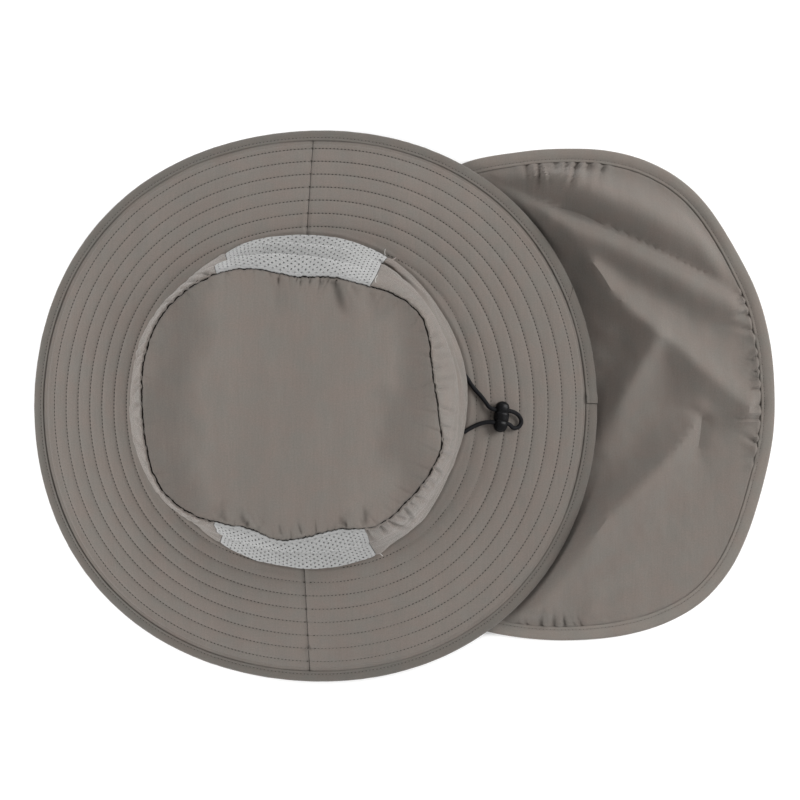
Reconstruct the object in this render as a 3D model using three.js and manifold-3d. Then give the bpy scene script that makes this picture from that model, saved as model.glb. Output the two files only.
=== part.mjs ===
// A flap sun hat lying on a floor: a soft cloth crown with two perforated vent panels, a quilted brim in
// two halves, a neck flap spread out behind, and an elastic drawcord with its stopper.
// Millimetres, +Z up, the floor at z = 0. The hat's front is towards -X, its neck flap towards +X and the
// wearer's right towards +Y. The origin is on the floor under the middle of the whole hat.
// A heading is an angle round the head in degrees: 0 is the back of the head, 90 the wearer's right.
import * as THREE from "three";
import { mergeVertices } from "three/addons/utils/BufferGeometryUtils.js";
import Module from "manifold-3d";

const wasm = await Module();
wasm.setup();
const { clamp, degToRad, lerp, radToDeg, smoothstep } = THREE.MathUtils;

// Cloth thicknesses, and the gap between sewn neighbours
const GAP = 0.3;
const CROWN_WALL = 1.2;
const BRIM_WALL = 1.4;
const FLAP_WALL = 1.0;
const TAPE_WALL = 1.0;

// Crown: where the middle of the head is, and the heights of its two seams
const HEAD = { x: -61, y: 2.4 };
const BASE_HEIGHT = 40;
const SEAM_HEIGHT = 117;
const SEAM_TILT = 2;
const TIP_HEIGHT = 121;
const TIP_SHOULDER = 3.2;
const CROWN_PUFF = 5;
// Radii of the crown round the head: at the brim, and at the seam of the tip
const CROWN_SECTIONS = [
  { at: 0, base: 96.3, seam: 79.6 },
  { at: 15, base: 97.0, seam: 80.0 },
  { at: 30, base: 97.2, seam: 83.8 },
  { at: 45, base: 97.0, seam: 83.2 },
  { at: 60, base: 96.3, seam: 76.4 },
  { at: 75, base: 95.8, seam: 71.9 },
  { at: 90, base: 95.2, seam: 71.2 },
  { at: 105, base: 94.8, seam: 75.9 },
  { at: 120, base: 94.4, seam: 82.2 },
  { at: 135, base: 95.0, seam: 85.6 },
  { at: 150, base: 96.6, seam: 86.6 },
  { at: 180, base: 96.8, seam: 84.0 },
  { at: 210, base: 96.0, seam: 86.2 },
  { at: 225, base: 94.6, seam: 84.0 },
  { at: 240, base: 93.2, seam: 78.4 },
  { at: 270, base: 94.6, seam: 75.6 },
  { at: 285, base: 96.4, seam: 75.4 },
  { at: 300, base: 96.6, seam: 80.0 },
  { at: 330, base: 94.6, seam: 83.8 },
];
// Upright seams between the crown's side panels: their headings at the brim and at the tip
const RIGHT_REAR_SEAM = { base: 58.2, tip: 57.9 };
const RIGHT_FRONT_SEAM = { base: 116.0, tip: 121.5 };
const LEFT_FRONT_SEAM = { base: 241.3, tip: 236.0 };
const LEFT_REAR_SEAM = { base: 297.1, tip: 297.8 };
// Creases of the side panels: each runs from one heading and share of the height to another
const CROWN_CREASES = [
  { from: 57, low: 0.1, to: -12, high: 0.34, depth: 2.4, width: 0.1 },
  { from: 57, low: 0.3, to: 2, high: 0.62, depth: 1.8, width: 0.1 },
  { from: -8, low: 0.62, to: -58, high: 0.3, depth: 1.6, width: 0.12 },
  { from: 62, low: 0.36, to: 114, high: 0.3, depth: 1.4, width: 0.1 },
  { from: 62, low: 0.68, to: 117, high: 0.62, depth: 1.4, width: 0.1 },
  { from: 244, low: 0.42, to: 292, high: 0.36, depth: 1.4, width: 0.12 },
  { from: 128, low: 0.5, to: 172, high: 0.62, depth: 1.0, width: 0.14 },
  { from: 186, low: 0.6, to: 228, high: 0.46, depth: 1.0, width: 0.14 },
];
// Dents and swells of the tip, placed from the middle of the head
const TIP_DENTS = [
  { x: -60, y: -4, reachX: 10, reachY: 48, depth: 1.5 },
  { x: -42, y: -6, reachX: 9, reachY: 44, depth: -0.9 },
  { x: 28, y: 55, reachX: 7, reachY: 11, depth: 2.4 },
  { x: -32, y: -60, reachX: 9, reachY: 8, depth: 1.8 },
  { x: 56, y: 6, reachX: 8, reachY: 36, depth: 1.0 },
];

// Brim: nearly a circle, a little longer than wide and a little square, drooping to its edge
const BRIM = { x: -52.4, y: -0.1, radius: 164.2, stretch: 1.8, squareness: 1.6 };
const BRIM_DROOP = 1.25;
const BRIM_SEAMS = { right: 87.2, left: 272 };
const BRIM_TAPE = 7;
const EDGE_HEIGHT = 1.4;
// The brim's rear edge lies on the neck flap and comes down to the floor ahead of it
const REAR_LIFT = 7;
const LIFTED_TO = 62;
const FLOOR_FROM = 106;

// Neck flap: sewn in round the back of the crown, and its free edge in order from left to right
const FLAP_FROM = -62.5;
const FLAP_TO = 58;
const FLAP_CORNER = 5;
const FLAP_TAPE = 7;
const FLAP_REST = FLAP_WALL / 2 + GAP + TAPE_WALL;
const FLAP_DROP_END = 0.92;
const FLAP_EDGE = [
  { x: 6, y: -113 },
  { x: 27, y: -124.5 },
  { x: 50, y: -132 },
  { x: 78, y: -136.3 },
  { x: 104, y: -136.7 },
  { x: 131, y: -133.6 },
  { x: 154, y: -126.6 },
  { x: 174, y: -115 },
  { x: 189.5, y: -98 },
  { x: 200, y: -78 },
  { x: 210, y: -47 },
  { x: 216, y: -18 },
  { x: 217, y: 8 },
  { x: 214.6, y: 36 },
  { x: 208.5, y: 61 },
  { x: 200.3, y: 80 },
  { x: 178, y: 116.6 },
  { x: 161.7, y: 132.5 },
  { x: 141.5, y: 143.4 },
  { x: 120, y: 149 },
  { x: 97, y: 150.3 },
  { x: 70, y: 148.6 },
  { x: 33, y: 140.8 },
  { x: 8, y: 122 },
];
// Folds of the flap: each ridge runs from start through middle to end, as high as start and end say, and
// reaches so far to the left and right of its line; a negative height is a valley
const FLAP_FOLDS = [
  { line: [[44, 137], [116, 107], [198, 62]], start: 9, end: 5, left: 20, right: 9 },
  { line: [[64, 127], [106, 123], [176, 93]], start: -2, end: -1.5, left: 9, right: 9 },
  { line: [[98, 139], [139, 126], [181, 95]], start: 3.5, end: 3, left: 14, right: 12 },
  { line: [[86, 103], [121, 85], [176, 58]], start: -3, end: -1.5, left: 8, right: 10 },
  { line: [[113, 85], [157, 42], [199, 0]], start: 5, end: 4.5, left: 16, right: 9 },
  { line: [[140, 45], [139, 16], [114, -20]], start: 5, end: 5, left: 16, right: 9 },
  { line: [[174, -5], [133, -56], [74, -126]], start: 6, end: 7, left: 18, right: 9 },
  { line: [[160, -22], [122, -62], [92, -98]], start: -2, end: -2, left: 9, right: 9 },
  { line: [[174, -6], [181, -14], [173, -28]], start: -3, end: -2, left: 6, right: 6 },
  { line: [[196, -2], [205, 5], [210, 12]], start: 3, end: 2, left: 7, right: 7 },
  { line: [[129, -109], [121, -114], [112, -120]], start: 3, end: 2, left: 7, right: 5 },
];

// Drawcord and stopper
const CORD_RADIUS = 1.25;
const CORD_HOLE = 1.7;
const STOPPER = { length: 18, width: 8.7, height: 7.4, bevel: 1.7, holeSpacing: 7.6, hole: 1.6 };
const STOPPER_PLACE = { x: 54.4, y: -6.1, turn: 6.7 };
// The cord's middle line, laid by hand from the right cord hole to the left one
const CORD_ROUTE = [
  [34.0, 18.5, 43.4],
  [34.9, 17.6, 43.4],
  [36.4, 15.6, 43.1],
  [38.4, 12.5, 42.4],
  [41.0, 9.2, 41.6],
  [44.2, 5.7, 40.9],
  [47.0, 2.0, 40.8],
  [49.2, -0.8, 41.1],
  [51.6, -1.9, 40.7],
  [56.4, -2.4, 39.0],
  [61.3, -3.0, 37.2],
  [64.2, -4.0, 35.4],
  [66.7, -6.2, 33.5],
  [67.8, -9.3, 32.5],
  [66.3, -12.0, 33.2],
  [63.4, -12.8, 34.9],
  [60.4, -10.6, 37.3],
  [55.6, -10.0, 39.1],
  [50.7, -9.4, 40.8],
  [47.4, -9.4, 40.9],
  [43.8, -10.2, 41.1],
  [40.2, -11.7, 41.7],
  [37.6, -13.1, 42.5],
  [35.6, -14.3, 43.2],
  [34.2, -15.2, 43.4],
];

// How finely each piece is divided
const CROWN_COLUMNS = { front: 26, back: 28, window: 12 };
const CROWN_ROWS = 7;
const TIP_COLUMNS = 44;
const TIP_ROWS = 5;
const BRIM_COLUMNS = { front: 31, back: 29 };
const BRIM_STATIONS = [0, 0.3, 0.62];
const FLAP_COLUMNS = 56;
const FLAP_ROWS = 14;
const CORD_STEPS = 42;

// A unit vector along a heading, flat on the floor.
function towards(heading) {
  return new THREE.Vector3(Math.cos(degToRad(heading)), Math.sin(degToRad(heading)), 0);
}

// The point at a heading, a distance from the middle of the head, and a height.
function fromHead(heading, distance, height) {
  const point = towards(heading).multiplyScalar(distance);
  return point.add(new THREE.Vector3(HEAD.x, HEAD.y, height));
}

// A column of the crown's table at any heading, smoothed between its rows.
function crownRadius(column, heading) {
  const count = CROWN_SECTIONS.length;
  const at = THREE.MathUtils.euclideanModulo(heading, 360);
  const index = CROWN_SECTIONS.findLastIndex((section) => section.at <= at);
  const [before, from, to, after] = [-1, 0, 1, 2].map((step) => {
    const turns = Math.floor((index + step) / count);
    const section = CROWN_SECTIONS[index + step - turns * count];
    return { at: section.at + 360 * turns, radius: section[column] };
  });
  const span = to.at - from.at;
  const slopeFrom = (span * (to.radius - before.radius)) / (to.at - before.at);
  const slopeTo = (span * (after.radius - from.radius)) / (after.at - from.at);
  const f = (at - from.at) / span;
  const ends = lerp(from.radius, to.radius, f * f * (3 - 2 * f));
  return ends + f * (1 - f) * ((1 - f) * slopeFrom - f * slopeTo);
}

// How far the creases draw a side panel in, at a heading and a share of the panel's height.
function creaseDepth(heading, share) {
  let depth = 0;
  for (const crease of CROWN_CREASES) {
    const along = (heading - crease.from) / (crease.to - crease.from);
    if (along <= 0 || along >= 1) continue;
    const off = (share - lerp(crease.low, crease.high, along)) / crease.width;
    depth += crease.depth * Math.sin(Math.PI * along) * Math.exp(-off * off);
  }
  return depth;
}

function seamHeight(heading) {
  return SEAM_HEIGHT + SEAM_TILT * Math.cos(degToRad(heading));
}

// The middle of the crown's side cloth: share 0 is at the brim, 1 at the seam of the tip.
function crownPoint(heading, share) {
  const straight = lerp(crownRadius("base", heading), crownRadius("seam", heading), share);
  const puff = CROWN_PUFF * Math.sin(Math.PI * share);
  const height = lerp(BASE_HEIGHT - BRIM_WALL / 2, seamHeight(heading), share);
  return fromHead(heading, straight + puff - creaseDepth(heading, share), height);
}

// The middle of the tip's cloth: share 0 is its middle, 1 its edge inside the side panels.
function tipPoint(heading, share) {
  const edge = crownRadius("seam", heading) - CROWN_WALL / 2 - GAP;
  const rim = seamHeight(heading) - CROWN_WALL / 2;
  const point = fromHead(heading, edge * share, lerp(TIP_HEIGHT, rim, share ** TIP_SHOULDER));
  for (const dent of TIP_DENTS) {
    const offX = (point.x - HEAD.x - dent.x) / dent.reachX;
    const offY = (point.y - HEAD.y - dent.y) / dent.reachY;
    point.z -= dent.depth * Math.exp(-offX * offX - offY * offY) * (1 - share ** 4);
  }
  return point;
}

// Distances from the middle of the head to the brim's inner and outer edges along a heading. The inner edge
// leans in at its foot, so it stands off the crown by two gaps.
function brimInner(heading) {
  return crownRadius("base", heading) + CROWN_WALL / 2 + 2 * GAP;
}

function brimOuter(heading) {
  const turn = degToRad(heading);
  const outline = BRIM.radius + BRIM.stretch * Math.cos(2 * turn) - BRIM.squareness * Math.cos(4 * turn);
  const offset = new THREE.Vector3(BRIM.x - HEAD.x, BRIM.y - HEAD.y, 0);
  const along = offset.dot(towards(heading));
  const across = offset.dot(towards(heading - 90));
  return along + Math.sqrt(outline ** 2 - across ** 2);
}

function brimEdgeHeight(heading) {
  const fromRear = Math.abs(THREE.MathUtils.euclideanModulo(heading + 180, 360) - 180);
  return EDGE_HEIGHT + REAR_LIFT * (1 - smoothstep(fromRear, LIFTED_TO, FLOOR_FROM));
}

// The middle of the brim's cloth: share 0 is at the crown, 1 at the brim's edge.
function brimPoint(heading, share) {
  const edge = brimEdgeHeight(heading);
  const height = lerp(BASE_HEIGHT, edge, share ** BRIM_DROOP);
  return fromHead(heading, lerp(brimInner(heading), brimOuter(heading), share), height);
}

// The share of the brim's width at which its tape starts.
function brimTapeShare(heading) {
  const drop = BRIM_DROOP * (BASE_HEIGHT - brimEdgeHeight(heading));
  return 1 - BRIM_TAPE / Math.hypot(brimOuter(heading) - brimInner(heading), drop);
}

// The height that the flap's folds add at a place on the floor.
const foldLines = FLAP_FOLDS.map((fold) => {
  const curve = new THREE.SplineCurve(fold.line.map(([x, y]) => new THREE.Vector2(x, y)));
  return { ...fold, points: curve.getPoints(20) };
});

function foldHeight(x, y) {
  const place = new THREE.Vector2(x, y);
  let height = 0;
  for (const { points, start, end, left, right } of foldLines) {
    let best = { distance: Infinity };
    for (let i = 1; i < points.length; i += 1) {
      const step = points[i].clone().sub(points[i - 1]);
      const offset = place.clone().sub(points[i - 1]);
      const along = clamp(offset.dot(step) / step.lengthSq(), 0, 1);
      const distance = offset.clone().addScaledVector(step, -along).length();
      if (distance >= best.distance) continue;
      const reach = step.cross(offset) > 0 ? left : right;
      best = { distance, reach, along: (i - 1 + along) / (points.length - 1) };
    }
    height += lerp(start, end, best.along) * Math.exp(-((best.distance / best.reach) ** 2));
  }
  return height;
}

// The height of the flap's middle: it drops from the crown's base behind the brim, then lies on the floor.
function flapHeight(x, y, foldShare) {
  const heading = radToDeg(Math.atan2(y - HEAD.y, x - HEAD.x));
  const distance = Math.hypot(x - HEAD.x, y - HEAD.y);
  const inner = brimInner(heading);
  const share = (distance - inner) / (brimOuter(heading) - inner);
  const top = BASE_HEIGHT - BRIM_WALL / 2 - GAP - FLAP_WALL / 2 - FLAP_REST;
  const drop = top * Math.max(0, 1 - share / FLAP_DROP_END) ** 1.5;
  const fold = foldHeight(x, y) * foldShare * smoothstep(share, 0.7, 1.7);
  return FLAP_REST + drop + Math.max(fold, FLAP_WALL / 2 - FLAP_REST);
}

// The flap's free edge, from its corner on the crown's left round to the corner on the right.
function flapEdgeCurve() {
  const corner = (heading) => fromHead(heading, brimInner(heading), 0);
  const middle = FLAP_EDGE.map(({ x, y }) => new THREE.Vector3(x, y, 0));
  return new THREE.CatmullRomCurve3([corner(FLAP_FROM), ...middle, corner(FLAP_TO)], false, "centripetal");
}

const flapEdge = flapEdgeCurve();
flapEdge.arcLengthDivisions = 800;

// One column of the flap: the points from its sewn edge to its free edge, the last step under the tape.
function flapColumn(around) {
  const heading = lerp(FLAP_FROM + FLAP_CORNER, FLAP_TO - FLAP_CORNER, around);
  const sewn = fromHead(heading, brimInner(heading), 0);
  const free = flapEdge.getPointAt(around);
  const squareTo = sewn.clone().sub(free).cross(flapEdge.getTangentAt(around)).length();
  const tapeShare = 1 - FLAP_TAPE / squareTo;
  const points = [];
  for (let j = 0; j <= FLAP_ROWS; j += 1) {
    const share = j < FLAP_ROWS ? (Math.max(tapeShare, 0.05) * j) / (FLAP_ROWS - 1) : 1;
    const point = sewn.clone().lerp(free, share);
    point.z = flapHeight(point.x, point.y, 1 - smoothstep(share, 0.8, 0.95));
    points.push(point);
  }
  return points;
}

function flapColumns() {
  return Array.from({ length: FLAP_COLUMNS + 1 }, (_, i) => flapColumn(i / FLAP_COLUMNS));
}

function geometryOf(points, index) {
  const geometry = new THREE.BufferGeometry().setFromPoints(points);
  return geometry.setIndex(index);
}

// Cloth of one thickness round a middle surface, given as columns of points. A ring's last column joins its
// first, and with a pole all columns share their first point.
function cloth(columns, wall, { ring = false, pole = false } = {}) {
  const count = columns.length;
  const rows = columns[0].length;
  const vertex = (i, j) => (pole && j === 0 ? 0 : (i % count) * rows + j);
  const face = [];
  const lastColumn = ring ? count : count - 1;
  for (let i = 0; i < lastColumn; i += 1) {
    for (let j = 0; j < rows - 1; j += 1) {
      const [a, b, c, d] = [vertex(i, j), vertex(i + 1, j), vertex(i + 1, j + 1), vertex(i, j + 1)];
      if (a !== b) face.push([a, b, c]);
      face.push([a, c, d]);
    }
  }
  const middle = geometryOf(columns.flat(), face.flat());
  middle.computeVertexNormals();
  const normals = middle.getAttribute("normal");
  const normal = (v) => new THREE.Vector3().fromBufferAttribute(normals, v);
  const side = (sign) => columns.flat().map((p, v) => p.clone().addScaledVector(normal(v), (sign * wall) / 2));
  const under = count * rows;
  const index = face.flatMap(([a, b, c]) => [a, b, c, a + under, c + under, b + under]);
  const wallBetween = (a, b) => index.push(b, a, a + under, b, a + under, b + under);
  for (let i = 0; i < lastColumn; i += 1) {
    if (!pole) wallBetween(vertex(i, 0), vertex(i + 1, 0));
    wallBetween(vertex(i + 1, rows - 1), vertex(i, rows - 1));
  }
  for (let j = 0; j < rows - 1 && !ring; j += 1) {
    wallBetween(vertex(0, j + 1), vertex(0, j));
    wallBetween(vertex(count - 1, j), vertex(count - 1, j + 1));
  }
  return geometryOf([...side(1), ...side(-1)], index);
}

// The outline of a tape folded over a cloth edge: x is into the cloth from its edge, y up from its middle.
function tapeSection(clothWall, leg) {
  const inside = clothWall / 2 + GAP;
  const outside = inside + TAPE_WALL;
  const nose = GAP + TAPE_WALL;
  const upper = [[leg, inside], [-GAP, inside]];
  const upperOutside = [[leg, outside], [0, outside], [-nose, 0.45 * outside]];
  const lower = ([x, y]) => [x, -y];
  const outline = [
    ...upperOutside,
    ...upperOutside.map(lower).reverse(),
    ...upper.map(lower),
    ...upper.toReversed(),
  ];
  return outline.map(([x, y]) => new THREE.Vector2(x, y));
}

// Tape folded over the edge of a cloth. Each station gives a point on the edge and the point inside the cloth
// that the tape's width reaches. The tape never goes below the floor: where it meets it, it lies flat.
function tape(stations, clothWall, width, ring) {
  const section = tapeSection(clothWall, width - GAP);
  const count = stations.length;
  const size = section.length;
  const at = (i) => stations[ring ? (i + count) % count : clamp(i, 0, count - 1)];
  const points = stations.flatMap(({ edge, inside }, i) => {
    const along = at(i + 1).edge.clone().sub(at(i - 1).edge);
    const inwards = inside.clone().sub(edge).divideScalar(width);
    const up = along.clone().cross(inwards).normalize();
    return section.map(({ x, y }) => {
      const point = edge.clone().addScaledVector(inwards, x).addScaledVector(up, y);
      point.z = Math.max(point.z, 0);
      return point;
    });
  });
  const index = [];
  for (let i = 0; i < (ring ? count : count - 1); i += 1) {
    for (let k = 0; k < size; k += 1) {
      const next = (k + 1) % size;
      const [a, b] = [i * size + k, i * size + next];
      const [c, d] = [((i + 1) % count) * size + k, ((i + 1) % count) * size + next];
      // Each face is halved the way the cloth's own faces are, so that the two keep their gap
      if (section[k].x < section[next].x) index.push(a, b, d, a, d, c);
      else index.push(a, b, c, b, d, c);
    }
  }
  if (!ring) {
    const last = (count - 1) * size;
    for (const [a, b, c] of THREE.ShapeUtils.triangulateShape(section, [])) {
      index.push(a, c, b, last + a, last + b, last + c);
    }
  }
  return geometryOf(points, index);
}

// Solids for cutting, and back to geometry.
function solidOf(geometry) {
  const bare = geometry.clone();
  bare.deleteAttribute("normal");
  bare.deleteAttribute("uv");
  const merged = mergeVertices(bare, 1e-4);
  const vertProperties = new Float32Array(merged.getAttribute("position").array);
  const triVerts = new Uint32Array(merged.index.array);
  return new wasm.Manifold(new wasm.Mesh({ numProp: 3, vertProperties, triVerts }));
}

function geometryFrom(solid) {
  const mesh = solid.getMesh();
  const geometry = new THREE.BufferGeometry();
  geometry.setAttribute("position", new THREE.BufferAttribute(mesh.vertProperties, 3));
  return geometry.setIndex(new THREE.BufferAttribute(mesh.triVerts, 1));
}

// A round drill of a given radius and length, along a direction through a point.
function drill(point, direction, radius, length) {
  const bit = new THREE.CylinderGeometry(radius, radius, length, 12);
  bit.applyQuaternion(new THREE.Quaternion().setFromUnitVectors(new THREE.Vector3(0, 1, 0), direction));
  return solidOf(bit.translate(point.x, point.y, point.z));
}

// A side panel of the crown between two upright seams, with half a gap left at each.
function sidePanel(fromSeam, toSeam, columns) {
  const slack = radToDeg(GAP / 2 / CROWN_SECTIONS[6].seam);
  const sheet = Array.from({ length: columns + 1 }, (_, i) =>
    Array.from({ length: CROWN_ROWS + 1 }, (_, j) => {
      const share = j / CROWN_ROWS;
      const from = lerp(fromSeam.base, fromSeam.tip, share) + slack;
      const to = lerp(toSeam.base, toSeam.tip, share) - slack;
      return crownPoint(lerp(from, to, i / columns), share);
    }),
  );
  return cloth(sheet, CROWN_WALL);
}

const before = (seam) => ({ base: seam.base - 360, tip: seam.tip - 360 });

// The rear panel has a slanted hole for each end of the cord, just above the brim.
function backPanel() {
  let panel = solidOf(sidePanel(before(LEFT_REAR_SEAM), RIGHT_REAR_SEAM, CROWN_COLUMNS.back));
  const route = CORD_ROUTE.map((point) => new THREE.Vector3(...point));
  for (const [end, next] of [route.slice(0, 2), route.slice(-2).reverse()]) {
    const direction = next.clone().sub(end).normalize();
    panel = panel.subtract(drill(end.clone().lerp(next, 0.5), direction, CORD_HOLE, 9));
  }
  return geometryFrom(panel);
}

function crownTip() {
  const columns = Array.from({ length: TIP_COLUMNS }, (_, i) =>
    Array.from({ length: TIP_ROWS + 1 }, (_, j) => tipPoint((-360 * i) / TIP_COLUMNS, j / TIP_ROWS)),
  );
  return cloth(columns, CROWN_WALL, { ring: true, pole: true });
}

// Half of the brim between two headings. Its columns run clockwise, so that its upper side faces up.
function brimHalf(from, to, columns) {
  const slack = radToDeg(GAP / 2 / brimInner(from));
  const sheet = Array.from({ length: columns + 1 }, (_, i) => {
    const heading = lerp(to - slack, from + slack, i / columns);
    const shares = [...BRIM_STATIONS, brimTapeShare(heading), 1];
    return shares.map((share) => brimPoint(heading, share));
  });
  return cloth(sheet, BRIM_WALL);
}

function brimBinding() {
  const stations = [];
  const addArc = (from, to, columns) => {
    for (let i = 0; i < columns; i += 1) {
      const heading = lerp(from, to, i / columns);
      stations.push({ edge: brimPoint(heading, 1), inside: brimPoint(heading, brimTapeShare(heading)) });
    }
  };
  addArc(BRIM_SEAMS.left - 360, BRIM_SEAMS.right, BRIM_COLUMNS.back);
  addArc(BRIM_SEAMS.right, BRIM_SEAMS.left, BRIM_COLUMNS.front);
  return tape(stations, BRIM_WALL, BRIM_TAPE, true);
}

function neckFlap() {
  return cloth(flapColumns().reverse(), FLAP_WALL);
}

// The flap's tape starts and ends a little way out from the crown, clear of the brim above it.
function flapBinding() {
  const stations = flapColumns().slice(1, -1).map((points) => ({ edge: points.at(-1), inside: points.at(-2) }));
  return tape(stations, FLAP_WALL, FLAP_TAPE, false);
}

// The cord: one tube along its route.
function drawcord() {
  const points = CORD_ROUTE.map((point) => new THREE.Vector3(...point));
  const path = new THREE.CatmullRomCurve3(points, false, "centripetal");
  const sides = 8;
  const corner = CORD_RADIUS / Math.cos(Math.PI / sides);
  const corners = Array.from({ length: sides }, (_, i) => {
    const turn = (2 * Math.PI * (i + 0.5)) / sides;
    return new THREE.Vector2(corner * Math.cos(turn), corner * Math.sin(turn));
  });
  const section = new THREE.Shape(corners);
  return new THREE.ExtrudeGeometry(section, { steps: CORD_STEPS, extrudePath: path });
}

// The stopper in its own frame: x along the cord, y along its length, z up from the brim.
function stopper() {
  const { length, width, height, bevel, holeSpacing, hole } = STOPPER;
  const radius = width / 2 - bevel;
  const half = length / 2 - width / 2;
  const outline = new THREE.Shape();
  outline.absarc(0, half, radius, 0, Math.PI, false);
  outline.absarc(0, -half, radius, Math.PI, 2 * Math.PI, false);
  const body = new THREE.ExtrudeGeometry(outline, {
    depth: height - 2 * bevel,
    bevelThickness: bevel,
    bevelSize: bevel,
    bevelSegments: 2,
    curveSegments: 6,
  });
  let solid = solidOf(body.translate(0, 0, bevel - height / 2));
  const across = new THREE.Vector3(1, 0, 0);
  for (const side of [1, -1]) {
    solid = solid.subtract(drill(new THREE.Vector3(0, (side * holeSpacing) / 2, 0), across, hole, 2 * width));
  }
  return geometryFrom(solid);
}

// The stopper lies on the brim: its frame's x runs down the brim and its z is square to the cloth.
function placeOnBrim(mesh, { x, y, turn }) {
  const heading = radToDeg(Math.atan2(y - HEAD.y, x - HEAD.x));
  const distance = Math.hypot(x - HEAD.x, y - HEAD.y);
  const share = (distance - brimInner(heading)) / (brimOuter(heading) - brimInner(heading));
  const place = brimPoint(heading, share);
  const step = 0.06;
  const down = brimPoint(heading, share + step).sub(brimPoint(heading, share - step)).normalize();
  const sideways = towards(heading + 90);
  const up = down.clone().cross(sideways);
  const basis = new THREE.Matrix4().makeBasis(down, sideways, up);
  mesh.quaternion.setFromRotationMatrix(basis);
  mesh.rotateZ(degToRad(-turn - heading));
  mesh.position.copy(place).addScaledVector(up, BRIM_WALL / 2 + GAP + STOPPER.height / 2);
}

function material(color, roughness) {
  return new THREE.MeshStandardMaterial({ color, roughness, metalness: 0, flatShading: false });
}

const TAUPE = 0x7f7871;
const PALE_TAUPE = 0x8c857e;
const VENT_GREY = 0xb9b9b8;
const BLACK = 0x1c1c1f;

const hat = new THREE.Group();

function add(name, geometry, color, roughness = 0.85) {
  const mesh = new THREE.Mesh(geometry, material(color, roughness));
  mesh.name = name;
  hat.add(mesh);
  return mesh;
}

add("crown_tip", crownTip(), TAUPE);
add("crown_front_panel", sidePanel(RIGHT_FRONT_SEAM, LEFT_FRONT_SEAM, CROWN_COLUMNS.front), PALE_TAUPE);
add("crown_back_panel", backPanel(), PALE_TAUPE);
add("mesh_window_right", sidePanel(RIGHT_REAR_SEAM, RIGHT_FRONT_SEAM, CROWN_COLUMNS.window), VENT_GREY);
add("mesh_window_left", sidePanel(LEFT_FRONT_SEAM, LEFT_REAR_SEAM, CROWN_COLUMNS.window), VENT_GREY);
add("brim_front", brimHalf(BRIM_SEAMS.right, BRIM_SEAMS.left, BRIM_COLUMNS.front), TAUPE);
add("brim_back", brimHalf(BRIM_SEAMS.left - 360, BRIM_SEAMS.right, BRIM_COLUMNS.back), TAUPE);
add("brim_binding", brimBinding(), TAUPE);
add("neck_flap", neckFlap(), TAUPE);
add("flap_binding", flapBinding(), TAUPE);
add("drawcord", drawcord(), BLACK, 0.7);
placeOnBrim(add("cord_stopper", stopper(), BLACK, 0.4), STOPPER_PLACE);

export default hat;
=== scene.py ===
"""Looks of a flap sun hat that lies on a white floor, seen from straight above.

Lengths are millimetres until a mesh is made, in the part's own frame: +Z up from the floor, -X the front of
the hat, +Y the wearer's right. A heading is an angle round the head in degrees, 0 at the back of the head.
"""

import math

import bmesh
import bpy
import numpy as np
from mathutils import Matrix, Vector

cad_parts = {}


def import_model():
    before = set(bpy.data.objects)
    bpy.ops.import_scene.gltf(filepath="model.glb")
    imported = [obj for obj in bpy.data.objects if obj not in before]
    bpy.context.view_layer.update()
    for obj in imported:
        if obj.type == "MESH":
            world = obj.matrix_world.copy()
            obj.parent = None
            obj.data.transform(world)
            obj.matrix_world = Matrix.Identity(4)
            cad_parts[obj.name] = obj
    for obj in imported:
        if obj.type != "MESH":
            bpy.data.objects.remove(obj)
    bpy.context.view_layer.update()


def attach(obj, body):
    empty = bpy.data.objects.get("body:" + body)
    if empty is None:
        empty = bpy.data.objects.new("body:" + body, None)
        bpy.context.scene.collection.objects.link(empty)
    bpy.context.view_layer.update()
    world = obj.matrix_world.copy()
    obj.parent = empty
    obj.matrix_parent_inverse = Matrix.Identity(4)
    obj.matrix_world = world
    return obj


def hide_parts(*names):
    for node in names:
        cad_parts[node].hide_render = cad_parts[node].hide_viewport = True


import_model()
MM = 0.001
UPWARDS = (0, 0, 1)

# Camera: straight down, the image's right along +X and its top along +Y
CAMERA_AT = (-2.5, 3.45, 1800.0)
VIEW_WIDTH = 472.0
SENSOR = 36.0


def make_camera():
    data = bpy.data.cameras.new("camera")
    data.sensor_width = SENSOR
    data.lens = SENSOR * CAMERA_AT[2] / VIEW_WIDTH
    data.clip_start, data.clip_end = 0.05, 20
    camera = bpy.data.objects.new("camera", data)
    camera.location = Vector(CAMERA_AT) * MM
    bpy.context.scene.collection.objects.link(camera)
    bpy.context.scene.camera = camera


make_camera()

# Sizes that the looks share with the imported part
GAP = 0.3
CROWN_WALL, BRIM_WALL, FLAP_WALL, TAPE_WALL = 1.2, 1.4, 1.0, 1.0
HEAD = (-61.0, 2.4)
BASE_HEIGHT, SEAM_HEIGHT, SEAM_TILT, TIP_HEIGHT = 40.0, 117.0, 2.0, 121.0
TIP_SHOULDER = 3.2
# Radii of the crown round the head: heading, at the brim, at the seam of the tip
CROWN_SECTIONS = np.array([
    (0, 96.3, 79.6), (15, 97.0, 80.0), (30, 97.2, 83.8), (45, 97.0, 83.2), (60, 96.3, 76.4),
    (75, 95.8, 71.9), (90, 95.2, 71.2), (105, 94.8, 75.9), (120, 94.4, 82.2), (135, 95.0, 85.6),
    (150, 96.6, 86.6), (180, 96.8, 84.0), (210, 96.0, 86.2), (225, 94.6, 84.0), (240, 93.2, 78.4),
    (270, 94.6, 75.6), (285, 96.4, 75.4), (300, 96.6, 80.0), (330, 94.6, 83.8),
])
BASE, SEAM = 1, 2
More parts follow.
